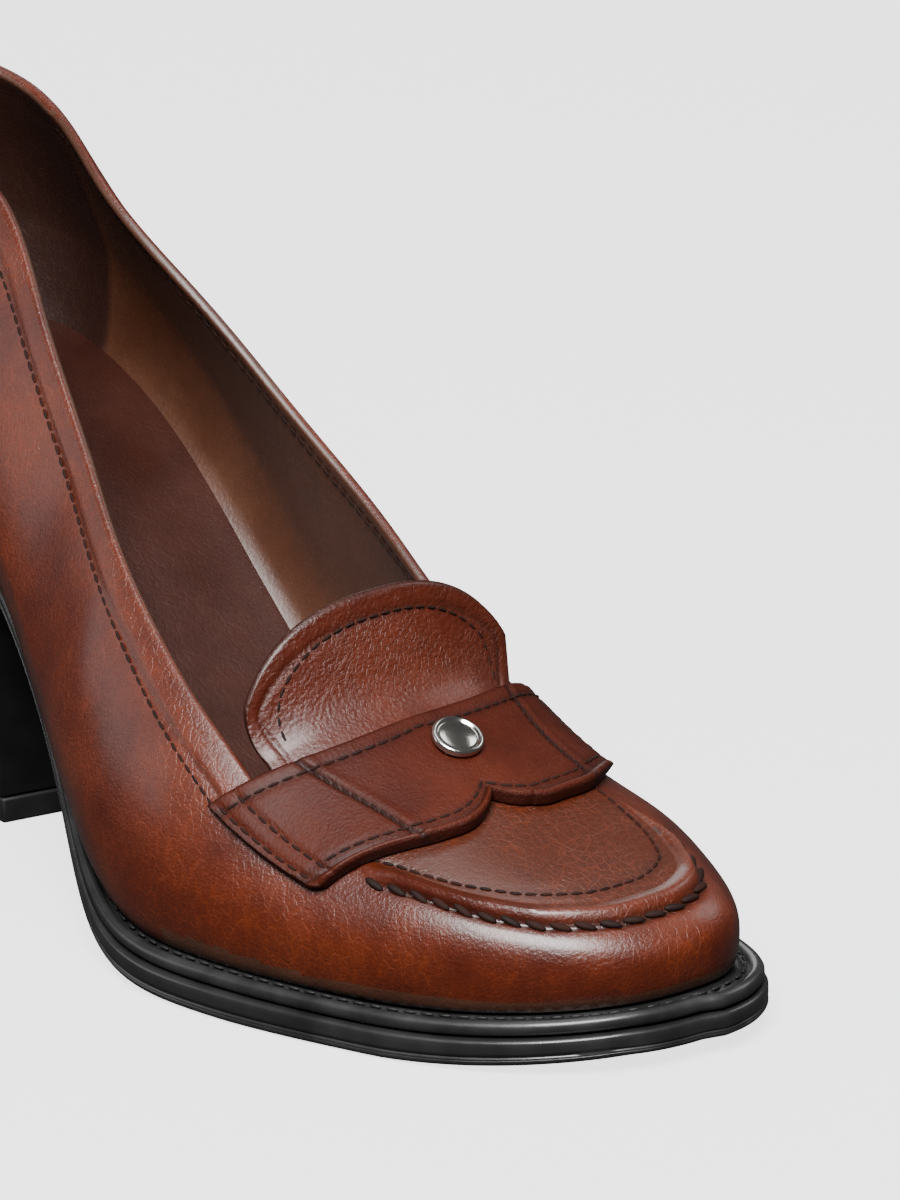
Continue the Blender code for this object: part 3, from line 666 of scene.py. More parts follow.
def band_bmesh(face: np.ndarray, back: np.ndarray, painted_shade: np.ndarray) -> bmesh.types.BMesh:
    """Closes a band from its face and back, both columns by rows, and fills its ends."""
    loop = np.concatenate([face, back[:, ::-1], face[:, :1]], axis=1)
    # Painted shade, the same on the face and the back of the band
    shade = np.concatenate([painted_shade, painted_shade[:, ::-1], painted_shade[:, :1]], axis=1)
    work = grid_bmesh(loop, {"painted_shade": shade})
    bmesh.ops.holes_fill(work, edges=[edge for edge in work.edges if edge.is_boundary])
    return work


def finish_piece(
    name: str,
    work: bmesh.types.BMesh,
    materials: list[bpy.types.Material],
    replaced: tuple[str, ...] = (),
    sharp: float = 40.0,
) -> bpy.types.Object:
    """Makes the bmesh an object that rides on the shoe and stands for its CAD node.

    Args:
        name: Piece name.
        work: The shape, freed here.
        materials: Its materials in slot order.
        replaced: CAD nodes that it stands for.
        sharp: Angle in degrees over which an edge stays sharp.

    Returns:
        The object.
    """
    bmesh.ops.recalc_face_normals(work, faces=work.faces)
    for face in work.faces:
        face.smooth = True
    for edge in work.edges:
        edge.smooth = edge.calc_face_angle(0.0) < math.radians(sharp)
    mesh = bpy.data.meshes.new(name)
    work.to_mesh(mesh)
    work.free()
    for material in materials:
        mesh.materials.append(material)
    piece = bpy.data.objects.new(name, mesh)
    bpy.context.scene.collection.objects.link(piece)
    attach(piece, BODY)
    if replaced:
        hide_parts(*replaced)
    LOG.info("%s: %d faces", name, len(mesh.polygons))
    return piece


@dataclass
class Stitching:
    """One thread sewn along lines, each stitch a short plump capsule lying in the leather."""

    name: str
    pitch: float
    length: float
    radius: float
    slot: str
    slant: float = 0.0
    sink: float = 0.3
    flat: float = 0.8
    lines: list = field(default_factory=list)

    def along(self, points: np.ndarray, normals: np.ndarray) -> None:
        """Adds a row of stitches along a line with its outward directions."""
        self.lines.append((points, normals))

    def build(self, material: bpy.types.Material) -> bpy.types.Object:
        """Makes all rows one piece."""
        work = bmesh.new()
        for points, normals in self.lines:
            total = lengths_along(points)[-1]
            count = max(1, int(total / self.pitch))
            places = (np.arange(count) + 0.5) * total / count
            centre = resampled(points, places)
            ahead = unit(resampled(points, places + 0.4) - resampled(points, places - 0.4))
            up = unit(vectors_at(places, lengths_along(points), normals))
            side = unit(np.cross(up, ahead))
            lean = math.radians(self.slant)
            run = ahead * math.cos(lean) + side * math.sin(lean)
            cross = side * math.cos(lean) - ahead * math.sin(lean)
            centre = in_row(centre + up * self.radius * (1.0 - 2.0 * self.sink))
            for spot, a, b, c in zip(centre, run, cross, up):
                matrix = Matrix(
                    (
                        (*(a * self.length / 2.0 * MM), 0.0),
                        (*(b * self.radius * MM), 0.0),
                        (*(c * self.radius * self.flat * MM), 0.0),
                        (0.0, 0.0, 0.0, 1.0),
                    )
                ).transposed()
                matrix.translation = Vector(spot)
                bmesh.ops.create_uvsphere(work, u_segments=8, v_segments=6, radius=1.0, matrix=matrix)
        return finish_piece(self.name, work, [material], sharp=80.0)


@dataclass
class Upper:
    """Hollow leather body with its rolled topline, raised apron seam, lining and soft waves."""

    wall: float = 1.8
    gap: float = 0.35
    columns: int = 336
    lower_rows: int = 22
    vamp_rows: int = 24
    lining_rows: int = 26
    edge_steps: int = 5
    ridge_profile: tuple = ((-2.6, 0.0), (-1.3, 0.9), (0.0, 1.5), (1.3, 1.0), (2.6, 0.0))
    ridge_rows: int = 15
    ridge_half: float = 4.4
    apron_rise: tuple = (
        (0.0, 30.0), (0.12, 28.5), (0.18, 27.3), (0.25, 26.0), (0.32, 22.3), (0.39, 19.8), (0.47, 19.0),
        (0.55, 19.6), (0.61, 21.3), (0.66, 26.5), (0.71, 34.0), (0.8, 37.0), (1.0, 36.0),
    )
    ridge_span: tuple = ((0.19, 0.0), (0.24, 1.0), (0.66, 1.0), (0.71, 0.0))
    seam_most: float = 0.62
    whip_pitch: float = 4.3
    whip_groove: Crease = Crease(-2.9, -0.55, 0.85)
    whip_pull: Crease = Crease(-2.9, -0.2, 0.85)
    whip_shade: Crease = Crease(-2.8, 0.8, 1.1)
    running_groove: Crease = Crease(0.0, -0.28, 0.6)
    running_shade: Crease = Crease(0.0, 0.35, 0.8)
    toe_puff: Crease = Crease(-7.5, 0.12, 4.5)
    band_groove: Crease = Crease(6.2, -0.34, 0.55)
    band_shade: Crease = Crease(6.2, 0.35, 0.8)
    band_rise: float = 0.32
    rim_shade: Crease = Crease(1.6, 0.2, 0.8)
    lining_seam: Crease = Crease(3.0, 0.35, 0.8)
    # Painted shade along the foot of the wall: a narrow band and a broad one
    foot_shade: Crease = Crease(0.0, 0.55, 2.2)
    foot_cloud: Crease = Crease(0.0, 0.12, 7.0)
    flex: Crease = Crease(128.0, 1.0, 38.0)
    waves: tuple = ((0.16, 5.2, 13.0, 0.0), (0.10, 3.1, -9.0, 1.3))
    slack: float = 0.14
    flat_foot: float = 8.0
    flat_rim: float = 9.0
    running_offset: tuple = ((0.2, 3.4), (0.3, 4.6), (0.4, 5.6), (0.5, 6.0), (0.6, 6.6), (0.7, 7.4))
    grip_x: float = 32.5
    grip_step: float = 0.45
    spine: tuple[float, float] = (20.0, 200.0)
    outer: np.ndarray | None = None
    normals: np.ndarray | None = None
    shares: np.ndarray | None = None
    places: np.ndarray | None = None
    seams: np.ndarray | None = None
    lengths: np.ndarray | None = None
    lift: np.ndarray | None = None

    def path(self, x: float, side: Side, share: float) -> np.ndarray:
        """Line up the wall to the collar, or over the toe to the throat."""
        if not 0.0 < share < 1.0:
            top = float(LAST.at(f"collar_{side.word}", x))
            return LAST.wall(np.full(120, x), side, np.linspace(0.0, top, 120))
        low = LAST.wall(np.full(32, x), side, np.linspace(0.0, float(LAST.at("widest", x)), 32))
        start = np.array(LAST.outline(x, side, 0.0))
        plan = start + (LAST.throat(share) - start) * np.linspace(0.0, 1.0, 200)[1:, None] ** 2
        return np.concatenate([low, LAST.top(plan[:, 0], plan[:, 1])])

    def walk(self) -> list[tuple[float, Side, float]]:
        """Each column's x, side and share round the vamp, once round the shoe."""
        half = self.columns // 2
        outer = LAST.stations(half, Side.OUTER)
        inner = LAST.stations(half, Side.INNER)
        steps = [(x, Side.OUTER) for x in outer] + [(x, Side.INNER) for x in inner[-2:0:-1]]
        plan = np.array([LAST.outline(x, side, 0.0) for x, side in steps])
        lengths = lengths_along(plan)
        first = np.interp(LAST.throat_x, plan[: half + 1, 0], lengths[: half + 1])
        last = np.interp(-LAST.throat_x, -plan[half:, 0], lengths[half:])
        return [(x, side, (s - first) / (last - first)) for (x, side), s in zip(steps, lengths)]

    def draw(self) -> None:
        """Works out the outer grid, its outward directions and where each row lies up its line."""
        offsets = np.linspace(-self.ridge_half, self.ridge_half, self.ridge_rows)
        rows = []
        for x, side, share in self.walk():
            path = self.path(x, side, share)
            length = float(lengths_along(path)[-1])
            seam = min(float(np.interp(share, *zip(*self.apron_rise))), length * self.seam_most)
            low = np.linspace(0.0, seam - self.ridge_half, self.lower_rows + 1)[:-1]
            high = np.linspace(seam + self.ridge_half, length, self.vamp_rows + 1)[1:]
            place = np.concatenate([low, seam + offsets, high])
            rows.append((resampled(path, place), place, share, seam, length))
        self.outer, self.places, self.shares, self.seams, self.lengths = map(np.array, zip(*rows))
        around = np.roll(self.outer, -1, axis=0) - np.roll(self.outer, 1, axis=0)
        normals = unit(np.cross(np.gradient(self.outer, axis=1), around))
        inside = self.outer - np.array([110.0, 0.0, 0.0])
        inside[:, :, 2] = 0.0
        if (normals * inside).sum() < 0:
            normals = -normals
        foot = normals[:, 0].copy()
        foot[:, 2] = 0.0
        normals[:, 0] = unit(foot)
        self.normals = normals

    def relief(self) -> tuple[np.ndarray, np.ndarray, np.ndarray]:
        """Lift off the plain form in millimetres, how much painted shade darkens it and how far it is apron.
        """
        strength = np.interp(self.shares, *zip(*self.ridge_span))[:, None]
        offset = self.places - self.seams[:, None]
        ridge = np.interp(offset, *zip(*self.ridge_profile))
        arc = lengths_along(self.outer[:, self.lower_rows + self.ridge_rows // 2])
        beat = np.cos(2.0 * math.pi * arc / self.whip_pitch)[:, None]
        running = offset - np.interp(self.shares, *zip(*self.running_offset))[:, None]
        groove = self.whip_groove.over(offset) + self.whip_pull.over(offset) * beat
        seam = ridge + groove + self.running_groove.over(running) + self.toe_puff.over(offset)
        edge = self.lengths[:, None] - self.places
        side_wall = ((self.shares <= 0.0) | (self.shares >= 1.0)).astype(float)[:, None]
        band = step_at(self.band_groove.at + 0.4 - edge, 1.2) * self.band_rise + self.band_groove.over(edge)
        x = self.outer[:, :, 0]
        z = self.outer[:, :, 2]
        waves = sum(height * np.sin(x / along + z / up + start) for height, along, up, start in self.waves)
        slack = self.slack * np.sin(x / 17.0 + 0.7) * np.sin(z / 11.0 + x / 31.0)
        middle = np.clip(self.places / self.flat_foot, 0.0, 1.0) * np.clip(edge / self.flat_rim, 0.0, 1.0)
        middle = middle * (1.0 - strength * bump_at(offset, 7.0))
        lift = strength * seam + side_wall * band + (waves * self.flex.over(x) + slack) * middle
        # Painted shade: darker along the foot, at the topline's rim and stitch row, and in the grooves of
        # the apron seam
        dark = self.foot_shade.over(self.places) + self.foot_cloud.over(self.places)
        dark = dark + side_wall * (self.band_shade.over(edge) + self.rim_shade.over(edge))
        dark = dark + strength * (self.whip_shade.over(offset) + self.running_shade.over(running))
        return lift, np.clip(dark, 0.0, 0.9), strength * step_at(offset - 1.2, 1.6)

    def lining(self) -> np.ndarray:
        """Inner grid from the topline down to the foot, one wall inside the outer one."""
        share = np.linspace(1.0, 0.0, self.lining_rows) ** 0.9
        grid = []
        for points, normals, place, length in zip(self.outer, self.normals, self.places, self.lengths):
            grip = step_at(self.grip_x - points[:, 0], 0.5) * (place > 2.0)
            pressed = self.lining_seam.over(length - place) * (points[-1, 0] < LAST.throat_x)
            inner = points - normals * (self.wall * (1.0 - pressed) + self.grip_step * grip)[:, None]
            grid.append(vectors_at(share * length, place, inner))
        return np.array(grid)

    def rolled(self, outer: np.ndarray, inner: np.ndarray) -> np.ndarray:
        """Round edge that joins the two walls along the topline."""
        middle = (outer[:, -1] + inner[:, 0]) / 2.0
        across = (outer[:, -1] - inner[:, 0]) / 2.0
        up = unit(outer[:, -1] - outer[:, -3]) * np.linalg.norm(across, axis=1, keepdims=True)
        turn = np.linspace(0.0, math.pi, self.edge_steps + 2)[1:-1]
        return np.stack([middle + across * math.cos(t) + up * math.sin(t) * 0.8 for t in turn], 1)

    def build(self, materials: list[bpy.types.Material]) -> bpy.types.Object:
        """Makes the upper: leather outside, lining inside and a grip at the heel."""
        self.draw()
        self.lift, dark, apron = self.relief()
        outer = self.outer + self.normals * self.lift[:, :, None]
        outer[:, 0, 2] += self.gap
        inner = self.lining()
        inner[:, -1, 2] += self.gap
        roll = self.rolled(outer, inner)
        grid = np.concatenate([outer, roll, inner, outer[:, :1]], axis=1)
        plain = np.zeros(roll.shape[:2])
        rest = np.zeros((len(grid), inner.shape[1] + 1))
        # Painted shade: the rolled topline is darkened a little all along; the outer wall takes the
        # darkening worked out in relief
        painted_shade = np.concatenate([dark, plain + 0.15, rest], axis=1)
        grip = step_at(self.grip_x - np.concatenate([inner[:, :, 0], inner[:, -1:, 0]], axis=1), 0.8)
        panel = np.concatenate([apron, plain, grip], axis=1)
        grid = np.concatenate([grid, grid[:1]], axis=0)
        layers = {
            "painted_shade": np.concatenate([painted_shade, painted_shade[:1]], axis=0),
            "panel": np.concatenate([panel, panel[:1]], axis=0),
        }
        work = grid_bmesh(grid, layers)
        self.line_inside(work)
        return finish_piece("upper_leather", work, materials, ("upper",), 55.0)

    def line_inside(self, work: bmesh.types.BMesh) -> None:
        """Gives the lining to the faces that look at the foot's spine, and to those under the vamp."""
        bmesh.ops.recalc_face_normals(work, faces=work.faces)
        centres = np.array([face.calc_center_median() for face in work.faces]) / MM - ROW_SHIFT
        normals = np.array([face.normal for face in work.faces])
        x = centres[:, 0]
        spine_y = LAST.at("centre", np.round(x))
        toward = (np.clip(x, *self.spine) - x) * normals[:, 0] + (spine_y - centres[:, 1]) * normals[:, 1]
        under = (normals[:, 2] < -0.2) & (x > 150.0)
        for face, lined in zip(work.faces, (toward > 0.0) & (normals[:, 2] < 0.75) | under):
            face.material_index = int(lined)

    def seam_rows(self, drop: float) -> tuple[np.ndarray, np.ndarray]:
        """Line beside the raised seam at an offset up the leather, where the seam stands full."""
        keep = np.where((self.shares > 0.19) & (self.shares < (0.69 if drop < 0.0 else 0.76)))[0]
        points = []
        normals = []
        for k in keep:
            offset = drop if drop < 0.0 else float(np.interp(self.shares[k], *zip(*self.running_offset)))
            place = self.seams[k] + offset
            raised = self.outer[k] + self.normals[k] * self.lift[k][:, None]
            points.append(vectors_at(place, self.places[k], raised))
            normals.append(vectors_at(place, self.places[k], self.normals[k]))
        return np.array(points), unit(np.array(normals))


@dataclass
class Strap:
    """Saddle strap with its sewn edges, two lobes and a corded front edge."""

    table: tuple = (
        (0.0, 158.3, -0.67, 182.6, -0.74),
        (0.12, 162.0, -0.53, 185.0, -0.60),
        (0.25, 165.5, -0.38, 189.2, -0.44),
        (0.36, 167.8, -0.24, 192.4, -0.30),
        (0.5, 168.7, -0.04, 194.0, -0.07),
        (0.64, 167.8, 0.15, 193.4, 0.10),
        (0.75, 165.5, 0.29, 191.8, 0.25),
        (0.88, 161.5, 0.47, 185.4, 0.46),
        (1.0, 157.0, 0.66, 177.5, 0.66),
    )
    notch: float = 5.2
    notch_reach: float = 0.1
    cord_rise: float = 0.06
    cord_fall: float = 0.24
    corner: float = 2.6
    corner_reach: float = 0.035
    thick: float = 1.7
    lift: float = 0.55
    across: int = 180
    rows: int = 44
    end_rows: tuple = (0.022, 0.075)
    end_groove: Crease = Crease(0.0, -0.28, 0.010)
    cross_seams: tuple = ((0.24, 0.315), (0.815, 0.77))
    cross_groove: Crease = Crease(0.0, -0.4, 0.008)
    cross_fold: Crease = Crease(0.02, 0.25, 0.014)
    cross_shade: Crease = Crease(0.0, 0.8, 0.008)
    cord: Crease = Crease(0.968, 1.0, 0.032)
    cord_groove: Crease = Crease(0.912, -0.5, 0.020)
    rear_groove: Crease = Crease(0.115, -0.25, 0.03)
    front_groove: Crease = Crease(0.85, -0.22, 0.028)
    shades: tuple = (
        Crease(1.0, 0.6, 0.012), Crease(0.912, 0.7, 0.02), Crease(0.0, 0.5, 0.03),
        Crease(0.115, 0.5, 0.03), Crease(0.85, 0.4, 0.03),
    )
    end_shade: Crease = Crease(0.0, 0.5, 0.012)

    def place(self, share: np.ndarray, along: np.ndarray) -> tuple[np.ndarray, np.ndarray]:
        """Points of the upper under the strap and the outward directions there.

        Args:
            share: From the outer end at 0 to the inner end at 1.
            along: From the rear edge at 0 to the front edge at 1.

        Returns:
            Points and outward directions.
        """
        at = columns_of(self.table, ("share", "rear_x", "rear_turn", "front_x", "front_turn"))
        away = np.clip(1.0 - np.abs(share - 0.5) / self.notch_reach, 0.0, 1.0)
        corner = np.clip(1.0 - np.minimum(share, 1.0 - share) / self.corner_reach, 0.0, 1.0)
        front = at["front_x"](share) - self.notch * away**2
        front = front - self.corner * (1.0 - np.sqrt(1.0 - corner**2))
        x = at["rear_x"](share) * (1.0 - along) + front * along
        turn = at["rear_turn"](share) * (1.0 - along) + at["front_turn"](share) * along
        turn = np.where(np.abs(turn) < 0.004, 0.004, turn)
        return LAST.section(x, turn), LAST.section_normal(x, turn)

    def height(self, share: np.ndarray, along: np.ndarray) -> np.ndarray:
        """Height of the strap's face over the upper."""
        taper = np.clip(np.minimum(share / self.cord_rise, (1.0 - share) / self.cord_fall), 0.0, 1.0)
        cord = (self.cord.over(along) + self.cord_groove.over(along)) * taper
        rows = self.rear_groove.over(along) + self.front_groove.over(along)
        ends = sum(
            self.end_groove.over(share - row) + self.end_groove.over(1.0 - share - row)
            for row in self.end_rows
        )
        seams = 0.0
        for first, last in self.cross_seams:
            off = share - (first + (last - first) * along)
            seams = seams + self.cross_groove.over(off) + self.cross_fold.over(off)
        soft = 0.12 * np.sin(share * 21.0 + along * 4.0) * np.sin(along * 3.1)
        rim = np.minimum(np.minimum(along, 1.02 - along) / 0.03, 1.0)
        rim = np.minimum(rim, np.minimum(share, 1.0 - share) / 0.008)
        relief = cord + rows + ends + seams + soft
        return self.lift + (self.thick + relief) * (0.35 + 0.65 * round_over(rim))

    def build(self, leather: bpy.types.Material) -> bpy.types.Object:
        """Makes the strap, face and back in one closed band."""
        share = np.linspace(0.0, 1.0, self.across + 1)
        along = np.linspace(0.0, 1.0, self.rows + 1)
        along = 0.5 - 0.5 * np.cos(along * math.pi) * (0.6 + 0.4 * np.abs(np.cos(along * math.pi)))
        s, a = np.meshgrid(share, along, indexing="ij")
        base, normal = self.place(s, a)
        face = base + normal * self.height(s, a)[:, :, None]
        back = base + normal * self.lift
        # Painted shade: darker along both rims, in the cord's groove and the stitch grooves, at the ends and
        # along the cross seams
        dark = sum(shade.over(a) for shade in self.shades)
        dark = dark + self.end_shade.over(s) + self.end_shade.over(1.0 - s)
        for first, last in self.cross_seams:
            dark = dark + self.cross_shade.over(s - (first + (last - first) * a))
        work = band_bmesh(face, back, np.clip(dark, 0.0, 0.85))
        return finish_piece("strap_leather_band", work, [leather], ("saddle_strap",), 60.0)

    def line(self, shares: np.ndarray, alongs: np.ndarray) -> tuple[np.ndarray, np.ndarray]:
        """A line on the strap's face with its outward directions."""
        base, normal = self.place(shares, alongs)
        return base + normal * self.height(shares, alongs)[:, None], normal


@dataclass
class Tongue:
    """Rounded flap that stands up behind the strap."""

    half_outer: float = 27.9
    half_inner: float = 26.4
    middle: float = 0.4
    length: float = 28.0
    roundness: float = 2.5
    flat: float = 4.5
    opening: float = 10.0
    back: float = 0.8
    slope: float = 72.0
    side_slope: float = 7.0
    spread_outer: float = 3.3
    spread_inner: float = 6.0
    thick: float = 1.8
    across: int = 110
    rows: int = 34
    widest_share: float = 0.992
    side_fade: float = 40.0
    stitch_groove: Crease = Crease(4.6, -0.3, 0.7)
    stitch_shade: Crease = Crease(4.6, 0.35, 0.8)
    rim_shade: Crease = Crease(0.0, 0.7, 0.9)
    pad: float = 0.5
    pad_reach: float = 9.0
    rim_thinned: float = 0.7
    rim_round: float = 0.8

    def line_at(self, share: float, reach: float, alongs: np.ndarray) -> np.ndarray:
        """Points at these lengths up the tongue, at a share across it from -1 to 1."""
        outer, inner = LAST.throat(0.0), LAST.throat(1.0)
        y = (outer[1] + inner[1]) / 2.0 + self.middle
        y = y + share * (self.half_inner if share > 0 else self.half_outer)
        bow = math.sin(math.pi * (y - outer[1]) / (inner[1] - outer[1]))
        foot_x = LAST.throat_x + LAST.throat_bow * bow - self.back
        foot = LAST.top(np.array(foot_x), np.array(y))
        behind = LAST.top(np.array(foot_x - self.flat), np.array(y))
        first = math.atan2(behind[2] - foot[2], self.flat)
        last = math.radians(self.slope + self.side_slope * share**2)
        spread = self.spread_inner if share > 0 else self.spread_outer
        points = []
        for along in alongs * reach:
            steps = np.linspace(0.0, along, 40)
            opened = np.clip((steps - self.flat) / self.opening, 0.0, 1.0)
            angle = first + (last - first) * opened
            out = spread * share * abs(share) * opened[-1]
            back = float(np.cos(angle).mean()) * along
            rise = float(np.sin(angle).mean()) * along
            points.append((foot[0] - back, foot[1] + out, foot[2] + rise))
        return np.array(points)

    def reach(self, share: float, inset: float = 0.0) -> float:
        """Length of the tongue at this share across, less an inset from its rim."""
        wide = 1.0 - inset / self.half_outer
        part = min(abs(share) / wide, 1.0)
        return (self.length - inset) * (1.0 - part**self.roundness) ** (1.0 / self.roundness)

    def shares(self) -> np.ndarray:
        """Shares across the tongue, closer together at its sides."""
        return np.sin(np.linspace(-1.0, 1.0, self.across + 1) * math.pi / 2.0) * self.widest_share

    def surface(self) -> tuple[np.ndarray, np.ndarray]:
        """Front surface of the tongue and its outward directions."""
        alongs = np.linspace(0.0, 1.0, self.rows + 1)
        grid = np.array([self.line_at(s, self.reach(s), alongs) for s in self.shares()])
        normal = unit(np.cross(np.gradient(grid, axis=0), np.gradient(grid, axis=1)))
        if normal[self.across // 2, 0, 2] < 0:
            normal = -normal
        return grid, normal

    def build(self, leather: bpy.types.Material) -> bpy.types.Object:
        """Makes the tongue with a rounded rim and a groove under its stitches."""
        grid, normal = self.surface()
        along = np.linspace(0.0, 1.0, self.rows + 1)
        rim = np.array(
            [
                np.minimum((1.0 - along) * self.reach(share), (1.0 - abs(share)) * self.side_fade)
                for share in self.shares()
            ]
        )
        pad = self.pad * np.clip((rim - self.stitch_groove.at) / self.pad_reach, 0.0, 1.0)
        thinned = self.rim_thinned * (1.0 - round_over(rim / self.rim_round))
        face = grid + normal * (self.stitch_groove.over(rim) + pad - thinned)[:, :, None]
        back = grid - normal * (self.thick - thinned)[:, :, None]
        # Painted shade: darker at the rim and in the groove under the stitches
        dark = np.clip(self.rim_shade.over(rim) + self.stitch_shade.over(rim), 0.0, 0.85)
        work = band_bmesh(face, back, dark)
        return finish_piece("tongue_flap", work, [leather], ("tongue",), 60.0)

    def stitch_line(self) -> tuple[np.ndarray, np.ndarray]:
        """Line of stitches inside the rim with its outward directions."""
        turns = np.linspace(-0.5 * math.pi, 0.5 * math.pi, 60)
        wide = (1.0 - self.stitch_groove.at / self.half_outer) * 0.985
        points = []
        for turn in turns:
            share = math.sin(turn) * wide
            points.append(self.line_at(share, self.reach(share, self.stitch_groove.at), np.array([1.0]))[0])
        line = np.array(points)
        grid, normal = self.surface()
        near = [np.unravel_index(np.argmin(((grid - p) ** 2).sum(-1)), grid.shape[:2]) for p in line]
        return line, np.array([normal[i, j] for i, j in near])


@dataclass
class Plate:
    """A bottom piece whose edge follows a profile round the whole shoe."""

    name: str
    slot: str
    node: str
    inset_of: Callable[[np.ndarray, Side], np.ndarray]
    top_of: Callable[[np.ndarray], np.ndarray]
    thick_of: Callable[[np.ndarray], np.ndarray]
    profile: tuple
    stations: int = 150
    fill: int = 12

    def ring(self, share: float, draw: float) -> np.ndarray:
        """One line round the piece at a share of its thickness, drawn in by a distance."""
        turn = np.linspace(0.0, math.pi, self.stations + 1)
        x = LAST.heel_end + (LAST.toe_end - LAST.heel_end) * (1.0 - np.cos(turn)) / 2.0
        sides = []
        for side in Side:
            tip = (self.inset_of(x, Side.OUTER) + self.inset_of(x, Side.INNER)) / 2.0
            inset = self.inset_of(x, side)
            inset = np.where((turn == 0.0) | (turn == math.pi), tip, inset) + draw
            px, py = LAST.outline(x, side, inset)
            sides.append(np.stack([px, py, self.top_of(px) - self.thick_of(px) * share], -1))
        sides[1][0] = sides[0][0]
        sides[1][-1] = sides[0][-1]
        return np.stack(sides)

    def build(self, material: bpy.types.Material) -> bpy.types.Object:
        """Makes the edge band and the two faces across it, and joins them."""
        rings = [self.ring(share, draw) for share, draw in self.profile]
        around = np.stack([np.concatenate([r[0], r[1][-2::-1]]) for r in rings], 1)
        work = grid_bmesh(around)
        blend = np.linspace(0.0, 1.0, self.fill + 1)[None, :, None]
        for edge in (rings[0], rings[-1]):
            across = edge[0][:, None] * (1.0 - blend) + edge[1][:, None] * blend
            face = grid_bmesh(across)
            mesh = bpy.data.meshes.new("join")
            face.to_mesh(mesh)
            face.free()
            work.from_mesh(mesh)
            bpy.data.meshes.remove(mesh)
        bmesh.ops.remove_doubles(work, verts=work.verts, dist=2e-6)
        return finish_piece(self.name, work, [material], (self.node,), 50.0)


@dataclass
class Bottom:
    """Insole, welt, outsole, heel and lift under the upper."""

    gap: float = 0.35
    wall: float = 1.8
    insole_thick: float = 1.4
    sock_reach: float = 0.58
    edge_columns: tuple = (
        "x", "welt_outer", "welt_inner", "sole_outer", "sole_inner", "welt_thick", "sole_thick",
    )
    edge_rows: tuple = (
        (-3, 1.2, 1.2, 1.4, 1.4, 1.6, 3.2),
        (70, 1.2, 1.2, 1.4, 1.4, 1.6, 3.2),
        (100, 1.6, 1.6, 2.0, 2.0, 1.9, 3.6),
        (125, 3.6, 3.4, 4.2, 4.0, 2.5, 4.8),
        (150, 4.2, 4.2, 5.0, 5.0, 2.7, 5.4),
        (190, 4.3, 4.8, 5.1, 5.5, 2.7, 5.5),
        (230, 4.6, 6.0, 5.4, 6.6, 2.7, 4.7),
    )
    breast_top: float = 67.0
    breast_floor: float = 67.0
    breast_slant: float = 0.2
    heel_back_floor: float = 4.0
    heel_half_floor: float = 22.5
    lift_height: float = 5.0
    sole_draw: float = 1.6
    seam_from: float = 92.0
    seam_inset: float = 3.1
    curves: dict = field(default_factory=dict)

    def __post_init__(self) -> None:
        """Works out the curves of the edge table."""
        self.curves.update(columns_of(self.edge_rows, self.edge_columns))

    def inset(self, ledge: Ledge, x: np.ndarray, side: Side) -> np.ndarray:
        """Inset from the widest line that lets a bottom piece stand out from the upper's foot."""
        return LAST.at("bulge", x) - self.curves[f"{ledge.value}_{side.word}"](x)

    def sole_top(self, x: np.ndarray) -> np.ndarray:
        """Height of the outsole's upper face."""
        return LAST.at("bottom", x) - self.curves["welt_thick"](x) - self.gap

    def sole_under(self, x: np.ndarray) -> np.ndarray:
        """Height of the outsole's underside."""
        return np.maximum(self.sole_top(x) - self.curves["sole_thick"](x), 0.0)

    def insole(self) -> Plate:
        """The sock that lies in the upper."""
        return Plate(
            "insole_sock", "insole_leather", "insole",
            lambda x, side: LAST.at("bulge", x) * self.sock_reach + self.wall,
            lambda x: LAST.at("bottom", x) + self.gap + self.insole_thick,
            lambda x: np.full_like(x, self.insole_thick),
            ((0.0, 0.7), (0.1, 0.3), (0.3, 0.1), (0.6, 0.8), (1.0, 1.6)),
        )

    def welt(self) -> Plate:
        """The stitched ledge with a gutter next to the upper."""
        profile = (
            (0.10, 4.6), (0.12, 3.9), (0.34, 3.4), (0.36, 2.7), (0.05, 2.1), (-0.05, 1.5), (0.0, 0.9),
            (0.12, 0.35), (0.34, 0.03), (0.62, 0.0), (0.82, 0.15), (0.94, 0.5), (1.0, 1.0),
        )
        return Plate(
            "welt_strip", "black_welt", "welt",
            lambda x, side: self.inset(Ledge.WELT, x, side),
            lambda x: LAST.at("bottom", x),
            self.curves["welt_thick"],
            profile,
        )

    def outsole(self) -> Plate:
        """The sole with its two rounded bands and the groove between them."""
        profile = (
            (0.0, 1.2), (0.02, 0.55), (0.06, 0.2), (0.14, 0.02), (0.30, 0.0), (0.46, 0.0), (0.56, 0.06),
            (0.59, 0.3), (0.62, 0.32), (0.65, 0.08), (0.70, 0.02), (0.73, 0.16), (0.76, 0.02), (0.84, 0.06),
            (0.91, 0.3), (0.96, 0.8), (1.0, 1.6),
        )
        return Plate(
            "outsole_unit", "black_sole_rubber", "outsole",
            lambda x, side: self.inset(Ledge.SOLE, x, side),
            self.sole_top,
            lambda x: self.sole_top(x) - self.sole_under(x),
            profile,
        )

    def heel_ring(self, level: float, columns: int = 40) -> np.ndarray:
        """Line round the heel block from its back along both sides, at a share of its height down."""
        share = 1.0 - np.cos(np.linspace(0.0, math.pi / 2.0, columns))
        top_x = LAST.heel_end + (self.breast_top - LAST.heel_end) * share
        floor_back = LAST.heel_end + self.heel_back_floor
        floor_x = floor_back + (self.breast_floor - floor_back) * share
        sides = []
        for side in Side:
            px, py = LAST.outline(top_x, side, self.inset(Ledge.SOLE, top_x, side) + self.sole_draw)
            px = px + self.breast_slant * py * share**2
            top = np.stack([px, py, self.sole_under(px) - self.gap], -1)
            width = side * self.heel_half_floor * LAST.cap_factor(top_x)
            slanted = floor_x + self.breast_slant * width * share**2
            floor = np.stack([slanted, width, np.full_like(width, self.lift_height + self.gap)], -1)
            sides.append(top * (1.0 - level) + floor * level)
        return np.stack(sides)

